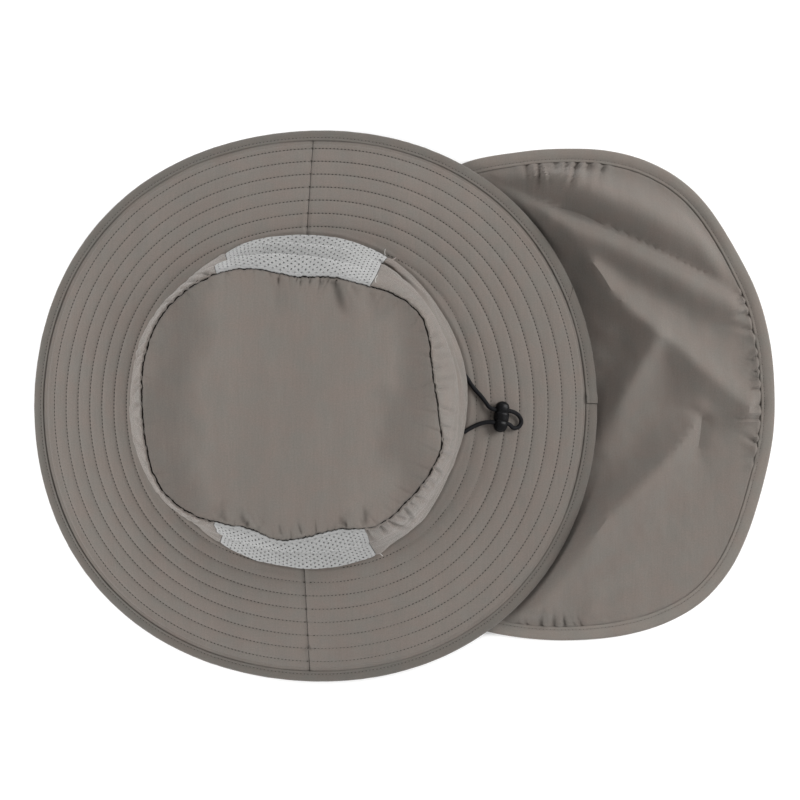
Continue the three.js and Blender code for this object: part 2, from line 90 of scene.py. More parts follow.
# How far the soft cloth lies out from those sections: heading, at the brim, at the seam of the tip
CROWN_SHIFTS = np.array([
    (0, 0.3, 0.3), (12, 0, -0.5), (24, -0.2, 0.3), (35, -0.8, 1.4), (48, 0.3, -0.9), (60, 1.1, -0.3),
    (73, 0.8, 1.0), (92, 0.5, -0.8), (108, 0.9, 1.5), (120, -0.8, 1.1), (135, -2.0, 1.1), (158, -2.4, 1.9),
    (181, -2.1, 0.9), (196, -1.8, 0.9), (207, -1.7, 2.2), (220, -2.0, 2.2), (229, -3.6, 1.6),
    (240, -1.5, 0.6), (250, -0.6, -1.6), (264, -0.4, 1.7), (276, 0.4, 1.0), (292, 0.8, -0.9),
    (298, 1.3, 0.8), (304, 0.2, 2.5), (318, 2.2, 1.1), (335, 0.8, 2.0), (343, 0.5, 3.7), (354, 0.4, 0.8),
])
BRIM_AT, BRIM_RADIUS, BRIM_STRETCH, BRIM_SQUARENESS = (-52.4, -0.1), 164.2, 1.8, 1.6
BRIM_DROOP, EDGE_HEIGHT, REAR_LIFT, LIFTED_TO, FLOOR_FROM = 1.25, 1.4, 7.0, 62.0, 106.0
BRIM_SEAMS = (87.2, 272.0)
NOSE = GAP + TAPE_WALL
FLAP_FROM, FLAP_TO, FLAP_CORNER, FLAP_TAPE = -62.5, 58.0, 5.0, 7.0
FLAP_REST = FLAP_WALL / 2 + GAP + TAPE_WALL
FLAP_DROP_END = 0.92
FLAP_EDGE = [
    (6, -113), (27, -124.5), (50, -132), (78, -136.3), (104, -136.7), (131, -133.6), (154, -126.6),
    (174, -115), (189.5, -98), (200, -78), (210, -47), (216, -18), (217, 8), (214.6, 36), (208.5, 61),
    (200.3, 80), (178, 116.6), (161.7, 132.5), (141.5, 143.4), (120, 149), (97, 150.3), (70, 148.6),
    (33, 140.8), (8, 122),
]


# Small helpers
def smooth(x, low, high):
    t = np.clip((x - low) / (high - low), 0, 1)
    return t * t * (3 - 2 * t)


def bell(x, width):
    return np.exp(-((x / width) ** 2))


def mix(a, b, share):
    return a + (b - a) * share


def stack(x, y, z):
    return np.stack(np.broadcast_arrays(x, y, z), axis=-1).astype(float)


def turned(heading):
    """How far a heading is from the back of the head, 0 to 180."""
    return np.abs(np.mod(heading + 180, 360) - 180)


def ripples(seed, wavelength, count=10, along=None, spread=np.pi):
    """A smooth random field over the plane, about -1 to 1, of a given wavelength in millimetres. Its crests
    run at the angle along, give or take spread, or every way."""
    draw = np.random.default_rng(seed)
    turn = (0 if along is None else along + np.pi / 2) + draw.uniform(-spread, spread, count)
    wave = 2 * np.pi / (wavelength * draw.uniform(0.7, 1.5, count))
    start = draw.uniform(0, 2 * np.pi, count)

    def field(x, y):
        total = 0
        for t, k, s in zip(turn, wave, start):
            total = total + np.sin(k * (np.cos(t) * x + np.sin(t) * y) + s)
        return total / math.sqrt(count)

    return field


def catmull_rom(points, count):
    """Points along a centripetal Catmull-Rom curve through the given points."""
    p = np.array(points, float)
    p = np.vstack([2 * p[0] - p[1], p, 2 * p[-1] - p[-2]])
    knots = np.concatenate([[0], np.cumsum(np.linalg.norm(np.diff(p, axis=0), axis=1) ** 0.5)])
    at = np.linspace(knots[1], knots[-2], count)
    i = np.clip(np.searchsorted(knots, at, side="right") - 1, 1, len(p) - 3)

    def between(a, b, ka, kb):
        share = ((at - ka) / (kb - ka))[:, None]
        return a * (1 - share) + b * share

    k0, k1, k2, k3 = (knots[i + s] for s in (-1, 0, 1, 2))
    a1, a2, a3 = (between(p[i + s], p[i + s + 1], knots[i + s], knots[i + s + 1]) for s in (-1, 0, 1))
    b1, b2 = between(a1, a2, k0, k2), between(a2, a3, k1, k3)
    return between(b1, b2, k1, k2)


def lengths_along(points):
    return np.concatenate([[0], np.cumsum(np.linalg.norm(np.diff(points, axis=0), axis=-1))])


def at_lengths(points, lengths, known=None):
    known = lengths_along(points) if known is None else known
    return np.stack([np.interp(lengths, known, points[:, k]) for k in range(points.shape[1])], axis=-1)


def unit(vectors):
    return vectors / np.maximum(np.linalg.norm(vectors, axis=-1, keepdims=True), 1e-9)


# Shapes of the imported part
def around(table, column, heading):
    """Smooth closed curve through a table whose first column is the heading."""
    at = np.concatenate([table[:, 0] + turn for turn in (-360, 0, 360)])
    value = np.tile(table[:, column], 3)
    slope = np.gradient(value)
    slope[1:-1] = (value[2:] - value[:-2]) / (at[2:] - at[:-2])
    heading = np.mod(heading, 360)
    i = np.searchsorted(at, heading, side="right") - 1
    span = at[i + 1] - at[i]
    f = (heading - at[i]) / span
    ends = mix(value[i], value[i + 1], f * f * (3 - 2 * f))
    return ends + f * (1 - f) * span * ((1 - f) * slope[i] - f * slope[i + 1])


def crown_radius(column, heading):
    return around(CROWN_SECTIONS, column, heading) + around(CROWN_SHIFTS, column, heading)


def from_head(heading, distance, height):
    turn = np.radians(heading)
    return stack(HEAD[0] + distance * np.cos(turn), HEAD[1] + distance * np.sin(turn), height)


def polar(x, y):
    return np.degrees(np.arctan2(y - HEAD[1], x - HEAD[0])), np.hypot(x - HEAD[0], y - HEAD[1])


def seam_height(heading):
    return SEAM_HEIGHT + SEAM_TILT * np.cos(np.radians(heading))


def brim_inner(heading):
    return crown_radius(BASE, heading) + CROWN_WALL / 2 + 2 * GAP


def brim_outer(heading):
    turn = np.radians(heading)
    outline = BRIM_RADIUS + BRIM_STRETCH * np.cos(2 * turn) - BRIM_SQUARENESS * np.cos(4 * turn)
    x, y = BRIM_AT[0] - HEAD[0], BRIM_AT[1] - HEAD[1]
    along, across = x * np.cos(turn) + y * np.sin(turn), x * np.sin(turn) - y * np.cos(turn)
    return along + np.sqrt(outline**2 - across**2)


def brim_height(heading, radius):
    """Height of the middle of the brim's cloth."""
    edge = EDGE_HEIGHT + REAR_LIFT * (1 - smooth(turned(heading), LIFTED_TO, FLOOR_FROM))
    inner, outer = brim_inner(heading), brim_outer(heading)
    share = np.clip((radius - inner) / (outer - inner), 0, 1.2)
    return mix(BASE_HEIGHT, edge, share**BRIM_DROOP)


# Meshes
def make_object(name, points, faces, cloth=None, sharp=50):
    """A mesh object from points in millimetres. faces is a list of arrays, each of faces with one number of
    corners. cloth gives each point its place on the flat cloth, in millimetres, for the weave."""
    faces = [np.asarray(f, np.int32) for f in faces if len(f)]
    corners = np.concatenate([f.ravel() for f in faces])
    sizes = np.concatenate([np.full(len(f), f.shape[1]) for f in faces])
    mesh = bpy.data.meshes.new(name)
    mesh.vertices.add(len(points))
    mesh.vertices.foreach_set("co", (np.asarray(points) * MM).astype(np.float32).ravel())
    mesh.loops.add(len(corners))
    mesh.loops.foreach_set("vertex_index", corners)
    mesh.polygons.add(len(sizes))
    mesh.polygons.foreach_set("loop_start", (np.cumsum(sizes) - sizes).astype(np.int32))
    mesh.polygons.foreach_set("use_smooth", np.ones(len(sizes), bool))
    mesh.update(calc_edges=True)
    if cloth is not None:
        layer = mesh.uv_layers.new(name="cloth")
        layer.uv.foreach_set("vector", (np.asarray(cloth) * MM)[corners].astype(np.float32).ravel())
    if mesh.validate():
        print("note:", name, "had faces that Blender corrected")
    mesh.set_sharp_from_angle(angle=math.radians(sharp))
    obj = bpy.data.objects.new(name, mesh)
    bpy.context.scene.collection.objects.link(obj)
    return obj


def grid_normals(grid, ring):
    if ring:
        wrapped = np.concatenate([grid[-1:], grid, grid[:1]])
        along = wrapped[2:] - wrapped[:-2]
    else:
        along = np.gradient(grid, axis=0)
    return unit(np.cross(along, np.gradient(grid, axis=1)))


def grid_faces(columns, rows, ring):
    column, row = np.arange(columns if ring else columns - 1)[:, None], np.arange(rows - 1)
    here, after = column * rows + row, (column + 1) % columns * rows + row
    return np.stack([here, after, after + 1, here + 1], -1).reshape(-1, 4)


def ring_quads(near, far):
    """Faces between two closed rows of points, or many pairs of rows."""
    return np.stack([near, np.roll(near, -1, axis=-1), np.roll(far, -1, axis=-1), far], -1).reshape(-1, 4)


def border(index, depth=0):
    """The numbers round a grid's border in order, or those a step in from them."""
    near, far = depth, -1 - depth
    return np.concatenate([index[:, near], index[far, 1:], index[-2::-1, far], index[near, -2:0:-1]])


def open_borders(index, ring, capped):
    """The borders that a shell closes, each with the row of points a step in from it."""
    if not ring:
        return [(border(index)[::-1], border(index, 1)[::-1])]
    first, last = (index[::-1, 0], index[::-1, 1]), (index[:, -1], index[:, -2])
    return [first] if capped else [first, last]


def shell(name, outer, thickness, cloth, facing, ring=False, capped=False):
    """A closed cloth. outer is a grid of points of its outer side, columns by rows, and the inner side lies a
    thickness behind it. facing is a rough outward direction. A ring's last column joins its first. A capped
    ring closes over its last row."""
    if (grid_normals(outer, ring) * facing).sum() < 0:
        outer, cloth = outer[::-1], cloth[::-1]
    columns, rows = outer.shape[:2]
    inner = outer - grid_normals(outer, ring) * thickness
    count = columns * rows
    faces = grid_faces(columns, rows, ring)
    quads = [faces, faces[:, ::-1] + count]
    points = [outer.reshape(-1, 3), inner.reshape(-1, 3)]
    places = [cloth.reshape(-1, 2)] * 2
    index = np.arange(count).reshape(columns, rows)
    total = 2 * count
    above, below, place = points[0], points[1], places[0]
    for edge, step in open_borders(index, ring, capped):
        out = unit(above[edge] - above[step])
        points.append((above[edge] + below[edge]) / 2 + out * thickness * 0.35)
        places.append(place[edge])
        rim = total + np.arange(len(edge))
        quads += [ring_quads(edge, rim), ring_quads(rim, count + edge)]
        total += len(edge)
    triangles = []
    if capped:
        last = index[:, -1]
        after = np.roll(last, -1)
        for offset, turn in ((0, 1), (count, -1)):
            points.append((above if offset == 0 else below)[last].mean(0, keepdims=True))
            places.append(place[last].mean(0, keepdims=True))
            fan = np.stack([last + offset, after + offset, np.full(len(last), total)], -1)
            triangles.append(fan[:, ::turn])
            total += 1
    return make_object(name, np.concatenate(points), quads + triangles, np.concatenate(places))


def tube_faces(rings, sides):
    """Faces of a tube made of rings of points: its side, then its two ends."""
    i, j = np.arange(rings - 1)[:, None] * sides, np.arange(sides)[None, :]
    after = (j + 1) % sides
    quads = np.stack([i + j, i + after, i + sides + after, i + sides + j], -1).reshape(-1, 4)
    ends = np.stack([np.arange(sides)[::-1], np.arange(sides) + (rings - 1) * sides])
    return [quads, ends]


def flat_cloth(along, across):
    """Places on the flat cloth, from the two ways along it."""
    return np.stack(np.broadcast_arrays(along, across), -1)


def tube(name, path, radius, sides):
    """A closed tube along a path. radius is one number, or one for each point and side."""
    path = np.asarray(path, float)
    tangent = unit(np.gradient(path, axis=0))
    side = np.zeros_like(path)
    start = np.cross(tangent[0], (0.0, 0.0, 1.0))
    side[0] = start / np.linalg.norm(start)
    for i in range(1, len(path)):
        step = side[i - 1] - tangent[i] * np.dot(side[i - 1], tangent[i])
        side[i] = step / np.linalg.norm(step)
    other = np.cross(tangent, side)
    turn = np.linspace(0, 2 * np.pi, sides, endpoint=False)
    radius = np.broadcast_to(radius, (len(path), sides))
    ring = side[:, None] * np.cos(turn)[:, None] + other[:, None] * np.sin(turn)[:, None]
    points = path[:, None] + ring * radius[..., None]
    cloth = flat_cloth(lengths_along(path)[:, None], turn * radius.mean())
    return make_object(name, points.reshape(-1, 3), tube_faces(len(path), sides), cloth.reshape(-1, 2))


# Puckers: short folds that a seam draws into the cloth beside it
def puckers(seed, start, end, spacing, length, depth, width, slant):
    """Rows of place along the seam, length, depth, width and slant, drawn at random within given ranges."""
    draw = np.random.default_rng(seed)
    rows, at = [], start
    while at < end:
        rows.append([at, *(draw.uniform(*span) for span in (length, depth, width, slant))])
        at += draw.uniform(0.6, 1.4) * spacing
    return rows


def pucker_height(rows, along, away, total=None, ridge=0.0):
    """Height that puckers add at a place along the seam and away from it. total is a closed seam's length,
    and ridge the share of a pucker's depth that the cloth rises beside it."""
    height = np.zeros(np.broadcast(along, away).shape)
    for at, length, depth, width, slant in rows:
        off = along - at - slant * away
        if total:
            off = np.mod(off + total / 2, total) - total / 2
        off = off / width
        fade = np.exp(-((np.maximum(away, 0) / length) ** 2)) * smooth(away, -0.5, 1.6)
        height = height - depth * fade * np.exp(-off * off) * np.cos(1.7 * off)
        if ridge:
            height = height + ridge * depth * fade * bell(np.abs(off) - 1.9, 0.9)
    return height


# Stitches: short raised threads, and discs of painted shade for the needle holes between them
STITCH_SIDES, STITCH_RINGS, HOLE_SIDES = 5, 4, 6
STITCH_PITCH = 2.15


def stitch_shape(length, radius):
    turn = np.arange(STITCH_SIDES) * 2 * np.pi / STITCH_SIDES + np.pi / 2
    at = np.linspace(-1, 1, STITCH_RINGS)
    thick = radius * (1 - 0.25 * at**4)
    rise = radius * (0.75 - 1.7 * np.abs(at) ** 3)
    x = np.repeat(at * length / 2, STITCH_SIDES).reshape(STITCH_RINGS, -1)
    y, z = thick[:, None] * np.cos(turn), rise[:, None] + thick[:, None] * np.sin(turn)
    return stack(x, y, z).reshape(-1, 3)


def hole_shape(radius):
    turn = np.arange(HOLE_SIDES) * 2 * np.pi / HOLE_SIDES
    rim = stack(1.4 * radius * np.cos(turn), 0.8 * radius * np.sin(turn), 0.1)
    return np.vstack([rim, [[0, 0, 0.2], [0, 0, -0.3]]])


def copies(shape, faces, centre, x_axis, z_axis):
    """A shape set at many places: its points and its faces, renumbered."""
    y_axis = np.cross(z_axis, x_axis)
    turned_shape = (
        shape[None, :, 0:1] * x_axis[:, None] + shape[None, :, 1:2] * y_axis[:, None]
        + shape[None, :, 2:3] * z_axis[:, None]
    )
    points = centre[:, None] + turned_shape
    shift = (np.arange(len(centre)) * len(shape))[:, None, None]
    return points.reshape(-1, 3), [(np.asarray(f)[None] + shift).reshape(-1, np.shape(f)[1]) for f in faces]


def stitch_faces():
    quads, ends = tube_faces(STITCH_RINGS, STITCH_SIDES)
    return [quads[:, [0, 3, 2, 1]], ends[:, ::-1]]


def hole_faces():
    here = np.arange(HOLE_SIDES)
    after = np.roll(here, -1)
    upper = np.stack([here, after, np.full(HOLE_SIDES, HOLE_SIDES)], -1)
    lower = np.stack([after, here, np.full(HOLE_SIDES, HOLE_SIDES + 1)], -1)
    return [np.concatenate([upper, lower])]


class Stitching:
    """Collects stitches along many lines, and then makes one mesh of threads and one of painted shade in the
    needle holes.
    """

    def __init__(self, seed):
        self.pitch, self.places, self.draw = STITCH_PITCH, [], np.random.default_rng(seed)

    def along(self, points, normals):
        length = lengths_along(points)
        count = int(length[-1] / self.pitch)
        if count < 2:
            return
        at = (np.arange(count) + 0.5 + self.draw.uniform(-0.06, 0.06, count)) * length[-1] / count
        centre, z_axis = at_lengths(points, at), unit(at_lengths(normals, at, length))
        ahead = unit(at_lengths(points, at + 0.6) - at_lengths(points, np.maximum(at - 0.6, 0)))
        x_axis = unit(ahead - z_axis * (ahead * z_axis).sum(-1, keepdims=True))
        self.places.append((centre, x_axis, z_axis))

    def make(self, name, slot, thread_length, thread_radius, hole_radius):
        centre, x_axis, z_axis = (np.concatenate(part) for part in zip(*self.places))
        threads = copies(stitch_shape(thread_length, thread_radius), stitch_faces(), centre, x_axis, z_axis)
        between = centre + x_axis * self.pitch / 2
        holes = copies(hole_shape(hole_radius), hole_faces(), between, x_axis, z_axis)
        finish_piece(make_object(name, *threads, cloth=threads[0][:, :2], sharp=80), THREAD, slot)
        # the needle holes are discs of painted shade
        finish_piece(make_object(name + "_holes", *holes, sharp=80), PAINTED_HOLE_AND_JOIN_SHADE, slot)


# Materials
class Nodes:
    """A material's node tree, with short calls for the nodes that the materials share."""

    def __init__(self, name):
        self.material = bpy.data.materials.new(name)
        self.material.use_nodes = True
        self.tree = self.material.node_tree
        self.shader = self.tree.nodes["Principled BSDF"]

    def node(self, kind, *sources):
        made = self.tree.nodes.new(kind)
        for socket, source in zip(made.inputs, sources):
            self.put(socket, source)
        return made

    def put(self, socket, source):
        """Sets a socket to a number or colour, or links it to another node's output."""
        if hasattr(source, "is_linked"):
            self.tree.links.new(source, socket)
        else:
            socket.default_value = source

    def math(self, operation, a, b=0.0):
        made = self.node("ShaderNodeMath", a, b)
        made.operation = operation
        return made.outputs[0]

    def split(self, vector):
        made = self.node("ShaderNodeSeparateXYZ", vector)
        return made.outputs["X"], made.outputs["Y"]

    def mapping(self, vector, scale):
        made = self.node("ShaderNodeMapping", vector)
        made.inputs["Scale"].default_value = scale
        return made.outputs["Vector"]

    def noise(self, vector, scale, detail=2.0, rough=0.5):
        made = self.node("ShaderNodeTexNoise", vector)
        for socket, value in (("Scale", scale), ("Detail", detail), ("Roughness", rough)):
            made.inputs[socket].default_value = value
        return made.outputs["Fac"]

    def ramp(self, value, stops):
        made = self.node("ShaderNodeValToRGB", value)
        elements = made.color_ramp.elements
        while len(elements) < len(stops):
            elements.new(0.5)
        for element, (at, color) in zip(elements, stops):
            element.position, element.color = at, (*color, 1)
        return made.outputs["Color"]

    def shades(self, value, low, high, color=(1, 1, 1), ends=(0.3, 0.7)):
        """Shades of a colour, from one share of it to another."""
        colors = [tuple(c * share for c in color) for share in (low, high)]
        return self.ramp(value, list(zip(ends, colors)))

    def multiply(self, a, b):
        made = self.tree.nodes.new("ShaderNodeMix")
        made.data_type, made.blend_type = "RGBA", "MULTIPLY"
        made.inputs["Factor"].default_value = 1.0
        self.put(made.inputs["A"], a)
        self.put(made.inputs["B"], b)
        return made.outputs["Result"]

    def bump(self, height, strength, distance, before=None):
        made = self.node("ShaderNodeBump")
        made.inputs["Strength"].default_value = strength
        made.inputs["Distance"].default_value = distance
        self.put(made.inputs["Height"], height)
        if before is not None:
            self.put(made.inputs["Normal"], before)
        return made.outputs["Normal"]

    def place(self):
        return self.tree.nodes.new("ShaderNodeTexCoord").outputs["Object"]

    def cloth(self):
        made = self.tree.nodes.new("ShaderNodeUVMap")
        made.uv_map = "cloth"
        return made.outputs["UV"]

    def surface(self, **sockets):
        """Gives the shader its colour, roughness, normal and the like, and returns the material."""
        for name, source in sockets.items():
            self.put(self.shader.inputs[name.replace("_", " ")], source)
        return self.material


def woven(n, vector, pitch, depth):
    """Plain weave: crossing threads of the given pitch in metres, as a bump."""
    waves = []
    for socket, shift in zip(n.split(vector), (0.0, 1.57)):
        turn = n.math("MULTIPLY", socket, 2 * math.pi / pitch)
        waves.append(n.math("SINE", n.math("ADD", turn, shift)))
    return n.bump(n.math("MULTIPLY", *waves), 0.5, depth)


# Width of one light and one dark band of the painted shade across the crown's tip, in metres, and the bands'
# tones
PAINTED_BAND_WIDTH = 0.134
PAINTED_BAND_TONES = [(0.0, 0.8), (0.22, 1.05), (0.5, 1.01), (1.0, 0.97)]


def nap_and_painted_shade(n, place, painted_bands):
    """Soft streaks where the brushed nap lies another way. On the tip, two broad darker bands of painted
    shade towards its front and back as well.
    """
    shade = n.shades(n.noise(n.mapping(place, (75, 8, 20)), 1.0, 3, 0.55), 0.965, 1.03)
    if not painted_bands:
        return shade
    # painted shade: two broad darker bands across the tip, towards its front and back
    from_middle = n.math("ADD", n.split(place)[0], -HEAD[0] * MM)
    turn = n.math("MULTIPLY", from_middle, 2 * math.pi / PAINTED_BAND_WIDTH)
    drift = n.math("MULTIPLY", n.noise(n.mapping(place, (24, 14, 20)), 1.0, 3), 3.4)
    wave = n.math("COSINE", n.math("ADD", n.math("ADD", turn, drift), -1.7))
    height = n.math("ADD", n.math("MULTIPLY", wave, 0.5), 0.5)
    return n.multiply(shade, n.ramp(height, [(at, (tone,) * 3) for at, tone in PAINTED_BAND_TONES]))


def shell_cloth(name, color, sheen=0.26, weave=0.00036, streak=0.6, painted_bands=False):
    """Brushed microfibre: a fine weave, faint warp streaks, uneven dye and a pale sheen at grazing angles."""
    n = Nodes(name)
    place, cloth = n.place(), n.cloth()
    warm = (color[0] * 1.03, color[1] * 0.995, color[2] * 0.985)
    cool = (color[0] * 0.97, color[1] * 1.005, color[2] * 1.01)
    colour = n.ramp(n.noise(place, 75, 4, 0.6), [(0.36, cool), (0.64, warm)])
    streaks = n.noise(n.mapping(cloth, (950, 60, 1)), 1.0, 3, 0.6)
    colour = n.multiply(colour, n.shades(streaks, 1 - 0.07 * streak, 1 + 0.05 * streak))
    colour = n.multiply(colour, n.shades(n.noise(cloth, 1150, 3, 0.7), 0.9, 1.09))
    # the tip's cloth also gets bands of painted shade
    colour = n.multiply(colour, nap_and_painted_shade(n, place, painted_bands))
    normal = woven(n, cloth, weave, 0.00006)
    normal = n.bump(n.noise(n.mapping(cloth, (900, 60, 1)), 1.0, 2), 0.35, 0.00012, normal)
    normal = n.bump(n.noise(place, 140, 3), 0.25, 0.0004, normal)
    return n.surface(
        Base_Color=colour, Normal=normal, Roughness=n.shades(n.noise(place, 60, 2), 0.78, 0.88),
        Sheen_Weight=sheen, Sheen_Roughness=0.42, Sheen_Tint=(1, 0.97, 0.94, 1), Specular_IOR_Level=0.25)


def knit_mesh(name, color):
    """Perforated knit: pale yarn with a fine diagonal rib."""
    n = Nodes(name)
    place, cloth = n.place(), n.cloth()
    x, y = n.split(cloth)
    along = n.math("SINE", n.math("MULTIPLY", n.math("ADD", x, y), 2 * math.pi / 0.0009))
    across = n.math("SINE", n.math("MULTIPLY", n.math("SUBTRACT", x, y), 2 * math.pi / 0.0014))
    rib = n.math("MULTIPLY", along, across)
    shade = n.shades(n.math("ADD", n.math("MULTIPLY", rib, 0.3), 0.5), 0.88, 1.04, ends=(0.15, 0.8))
    tone = n.shades(n.noise(place, 70, 3), 0.94, 1, color, (0.35, 0.65))
    return n.surface(
        Base_Color=n.multiply(tone, shade), Normal=n.bump(rib, 0.5, 0.00015),
        Roughness=n.shades(n.noise(place, 90, 2), 0.75, 0.9), Sheen_Weight=0.25, Specular_IOR_Level=0.2)


def thread_material(name, color, twist=0.0006):
    """Sewing thread: a twisted yarn, slightly glossy."""
    n = Nodes(name)
    x, y = n.split(n.place())
    ply = n.math("SINE", n.math("MULTIPLY", n.math("ADD", x, y), 2 * math.pi / twist))
    level = n.math("ADD", n.math("MULTIPLY", ply, 0.5), 0.5)
    shade = n.shades(level, 0.85, 1, color, (0.1, 0.9))
    return n.surface(Base_Color=shade, Normal=n.bump(ply, 0.4, 0.00005), Roughness=0.6)


def painted_shade_material(name, color):
    """Painted shade: the needle holes, and the turned cloth deep in a seam."""
    n = Nodes(name)
    shade = n.shades(n.noise(n.place(), 900, 1), 0.7, 1, color)
    return n.surface(Base_Color=shade, Roughness=1.0, Specular_IOR_Level=0.0)


def cord_material(name, color):
    """Braided elastic: fine crossing yarns that catch the light."""
    n = Nodes(name)
    yarns = n.noise(n.mapping(n.cloth(), (900, 3000, 1)), 1.0, 2)
    return n.surface(
        Base_Color=n.shades(n.noise(n.cloth(), 1500, 2), 0.6, 1.5, color), Normal=n.bump(yarns, 0.4, 0.0001),
        Roughness=0.7, Specular_IOR_Level=0.1)


def moulded_plastic(name, color):
    """Satin moulded plastic with faint mould grain."""
    n = Nodes(name)
    place = n.place()
    return n.surface(
        Base_Color=n.shades(n.noise(place, 220, 3), 0.8, 1.2, color),
        Roughness=n.shades(n.noise(place, 300, 2), 0.22, 0.34),
        Normal=n.bump(n.noise(place, 2500, 2), 0.15, 0.00005), Specular_IOR_Level=0.1)


# Linear colours of the dyed materials, and the dark of the painted shade
TAUPE = (0.142, 0.124, 0.110)
TAPE_TAUPE = (0.106, 0.095, 0.084)
PALE_TAPE_TAUPE = (0.158, 0.14, 0.124)
KNIT_GREY = (0.30, 0.30, 0.297)
THREAD_TAUPE, THREAD_GREY, THREAD_ROSE = (0.125, 0.11, 0.098), (0.42, 0.41, 0.39), (0.30, 0.25, 0.23)
# the dark of the painted shade in needle holes, tape joins and seams
DARK_OF_PAINTED_SHADE = (0.042, 0.037, 0.033)
CORD_BLACK, PLASTIC_BLACK = (0.007, 0.007, 0.008), (0.004, 0.004, 0.0045)

SHELL = shell_cloth("taupe_microfibre", TAUPE)
# the tip's cloth, with bands of painted shade
TIP_CLOTH_WITH_PAINTED_SHADE = shell_cloth("taupe_microfibre_tip_painted_shade", TAUPE, painted_bands=True)
TAPE = shell_cloth("taupe_tape", TAPE_TAUPE, sheen=0.2, weave=0.00045, streak=0.3)
PALE_TAPE = shell_cloth("pale_taupe_tape", PALE_TAPE_TAUPE, sheen=0.2, weave=0.00045, streak=0.3)
KNIT = knit_mesh("grey_perforated_knit", KNIT_GREY)
THREAD = thread_material("taupe_thread", THREAD_TAUPE)
PALE_THREAD = thread_material("pale_thread", THREAD_GREY)
WARM_THREAD = thread_material("warm_thread", THREAD_ROSE)
# painted shade: the needle holes and tape joins, and the turned cloth deep in the seams
PAINTED_HOLE_AND_JOIN_SHADE = painted_shade_material("needle_holes", DARK_OF_PAINTED_SHADE)
SEAM_PAINTED_SHADE = painted_shade_material("painted_seam_shade", DARK_OF_PAINTED_SHADE)
ELASTIC = cord_material("black_elastic", CORD_BLACK)
PLASTIC = moulded_plastic("black_plastic", PLASTIC_BLACK)


def finish_piece(obj, material, slot, *nodes):
    """Gives a piece its material, hangs it from the root and hides the imported parts that it stands for."""
    obj.data.materials.append(material)
    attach(obj, "root")
    if nodes:
        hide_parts(*nodes)
    return obj


# Cord and stopper
CORD_RADIUS = 1.25
CORD_ROUTE = [
    (34.0, 18.5, 43.4), (34.9, 17.6, 43.4), (36.4, 15.6, 43.1), (38.4, 12.5, 42.4), (41.0, 9.2, 41.6),
    (44.2, 5.7, 40.9), (47.0, 2.0, 40.8), (49.2, -0.8, 41.1), (51.6, -1.9, 40.7), (56.4, -2.4, 39.0),
    (61.3, -3.0, 37.2), (64.2, -4.0, 35.4), (66.7, -6.2, 33.5), (67.8, -9.3, 32.5), (66.3, -12.0, 33.2),
    (63.4, -12.8, 34.9), (60.4, -10.6, 37.3), (55.6, -10.0, 39.1), (50.7, -9.4, 40.8), (47.4, -9.4, 40.9),
    (43.8, -10.2, 41.1), (40.2, -11.7, 41.7), (37.6, -13.1, 42.5), (35.6, -14.3, 43.2), (34.2, -15.2, 43.4),
]
STOPPER_LENGTH, STOPPER_WIDTH, STOPPER_HEIGHT, STOPPER_HOLES = 18.0, 8.7, 7.4, 7.6
STOPPER_BORE, STOPPER_SHARP = 1.55, 35
STOPPER_AT, STOPPER_TURN = (54.4, -6.1), 6.7


def stopper_frame():
    """Middle of the stopper and its axes: down the brim, along its length, and square to the cloth."""
    x, y = STOPPER_AT
    heading, distance = polar(x, y)

    def on_brim(radius):
        return from_head(heading, radius, brim_height(heading, radius))

    width = brim_outer(heading) - brim_inner(heading)
    down = unit(on_brim(distance + 0.06 * width) - on_brim(distance - 0.06 * width))
    turn = math.radians(heading)
    sideways = np.array([-math.sin(turn), math.cos(turn), 0.0])
    up = np.cross(down, sideways)
    spin = math.radians(-STOPPER_TURN - heading)
    x_axis = down * math.cos(spin) + sideways * math.sin(spin)
    y_axis = sideways * math.cos(spin) - down * math.sin(spin)
    centre = on_brim(distance) + up * (BRIM_WALL / 2 + GAP + STOPPER_HEIGHT / 2)
    return centre, x_axis, y_axis, up


def make_cord():
    path = catmull_rom(CORD_ROUTE, 420)
    length = lengths_along(path)
    turn = np.linspace(0, 2 * np.pi, 20, endpoint=False)
    lay = 2 * np.pi * length[:, None] / 5.2
    braid = np.abs(np.sin(2.5 * (turn + lay))) * np.abs(np.sin(2.5 * (turn - lay)))
    radius = CORD_RADIUS * (0.93 + 0.1 * braid)
    cord = tube("drawcord_elastic", path, radius, 20)
    finish_piece(cord, ELASTIC, "cord", "drawcord")
    return cord, path, length[-1]


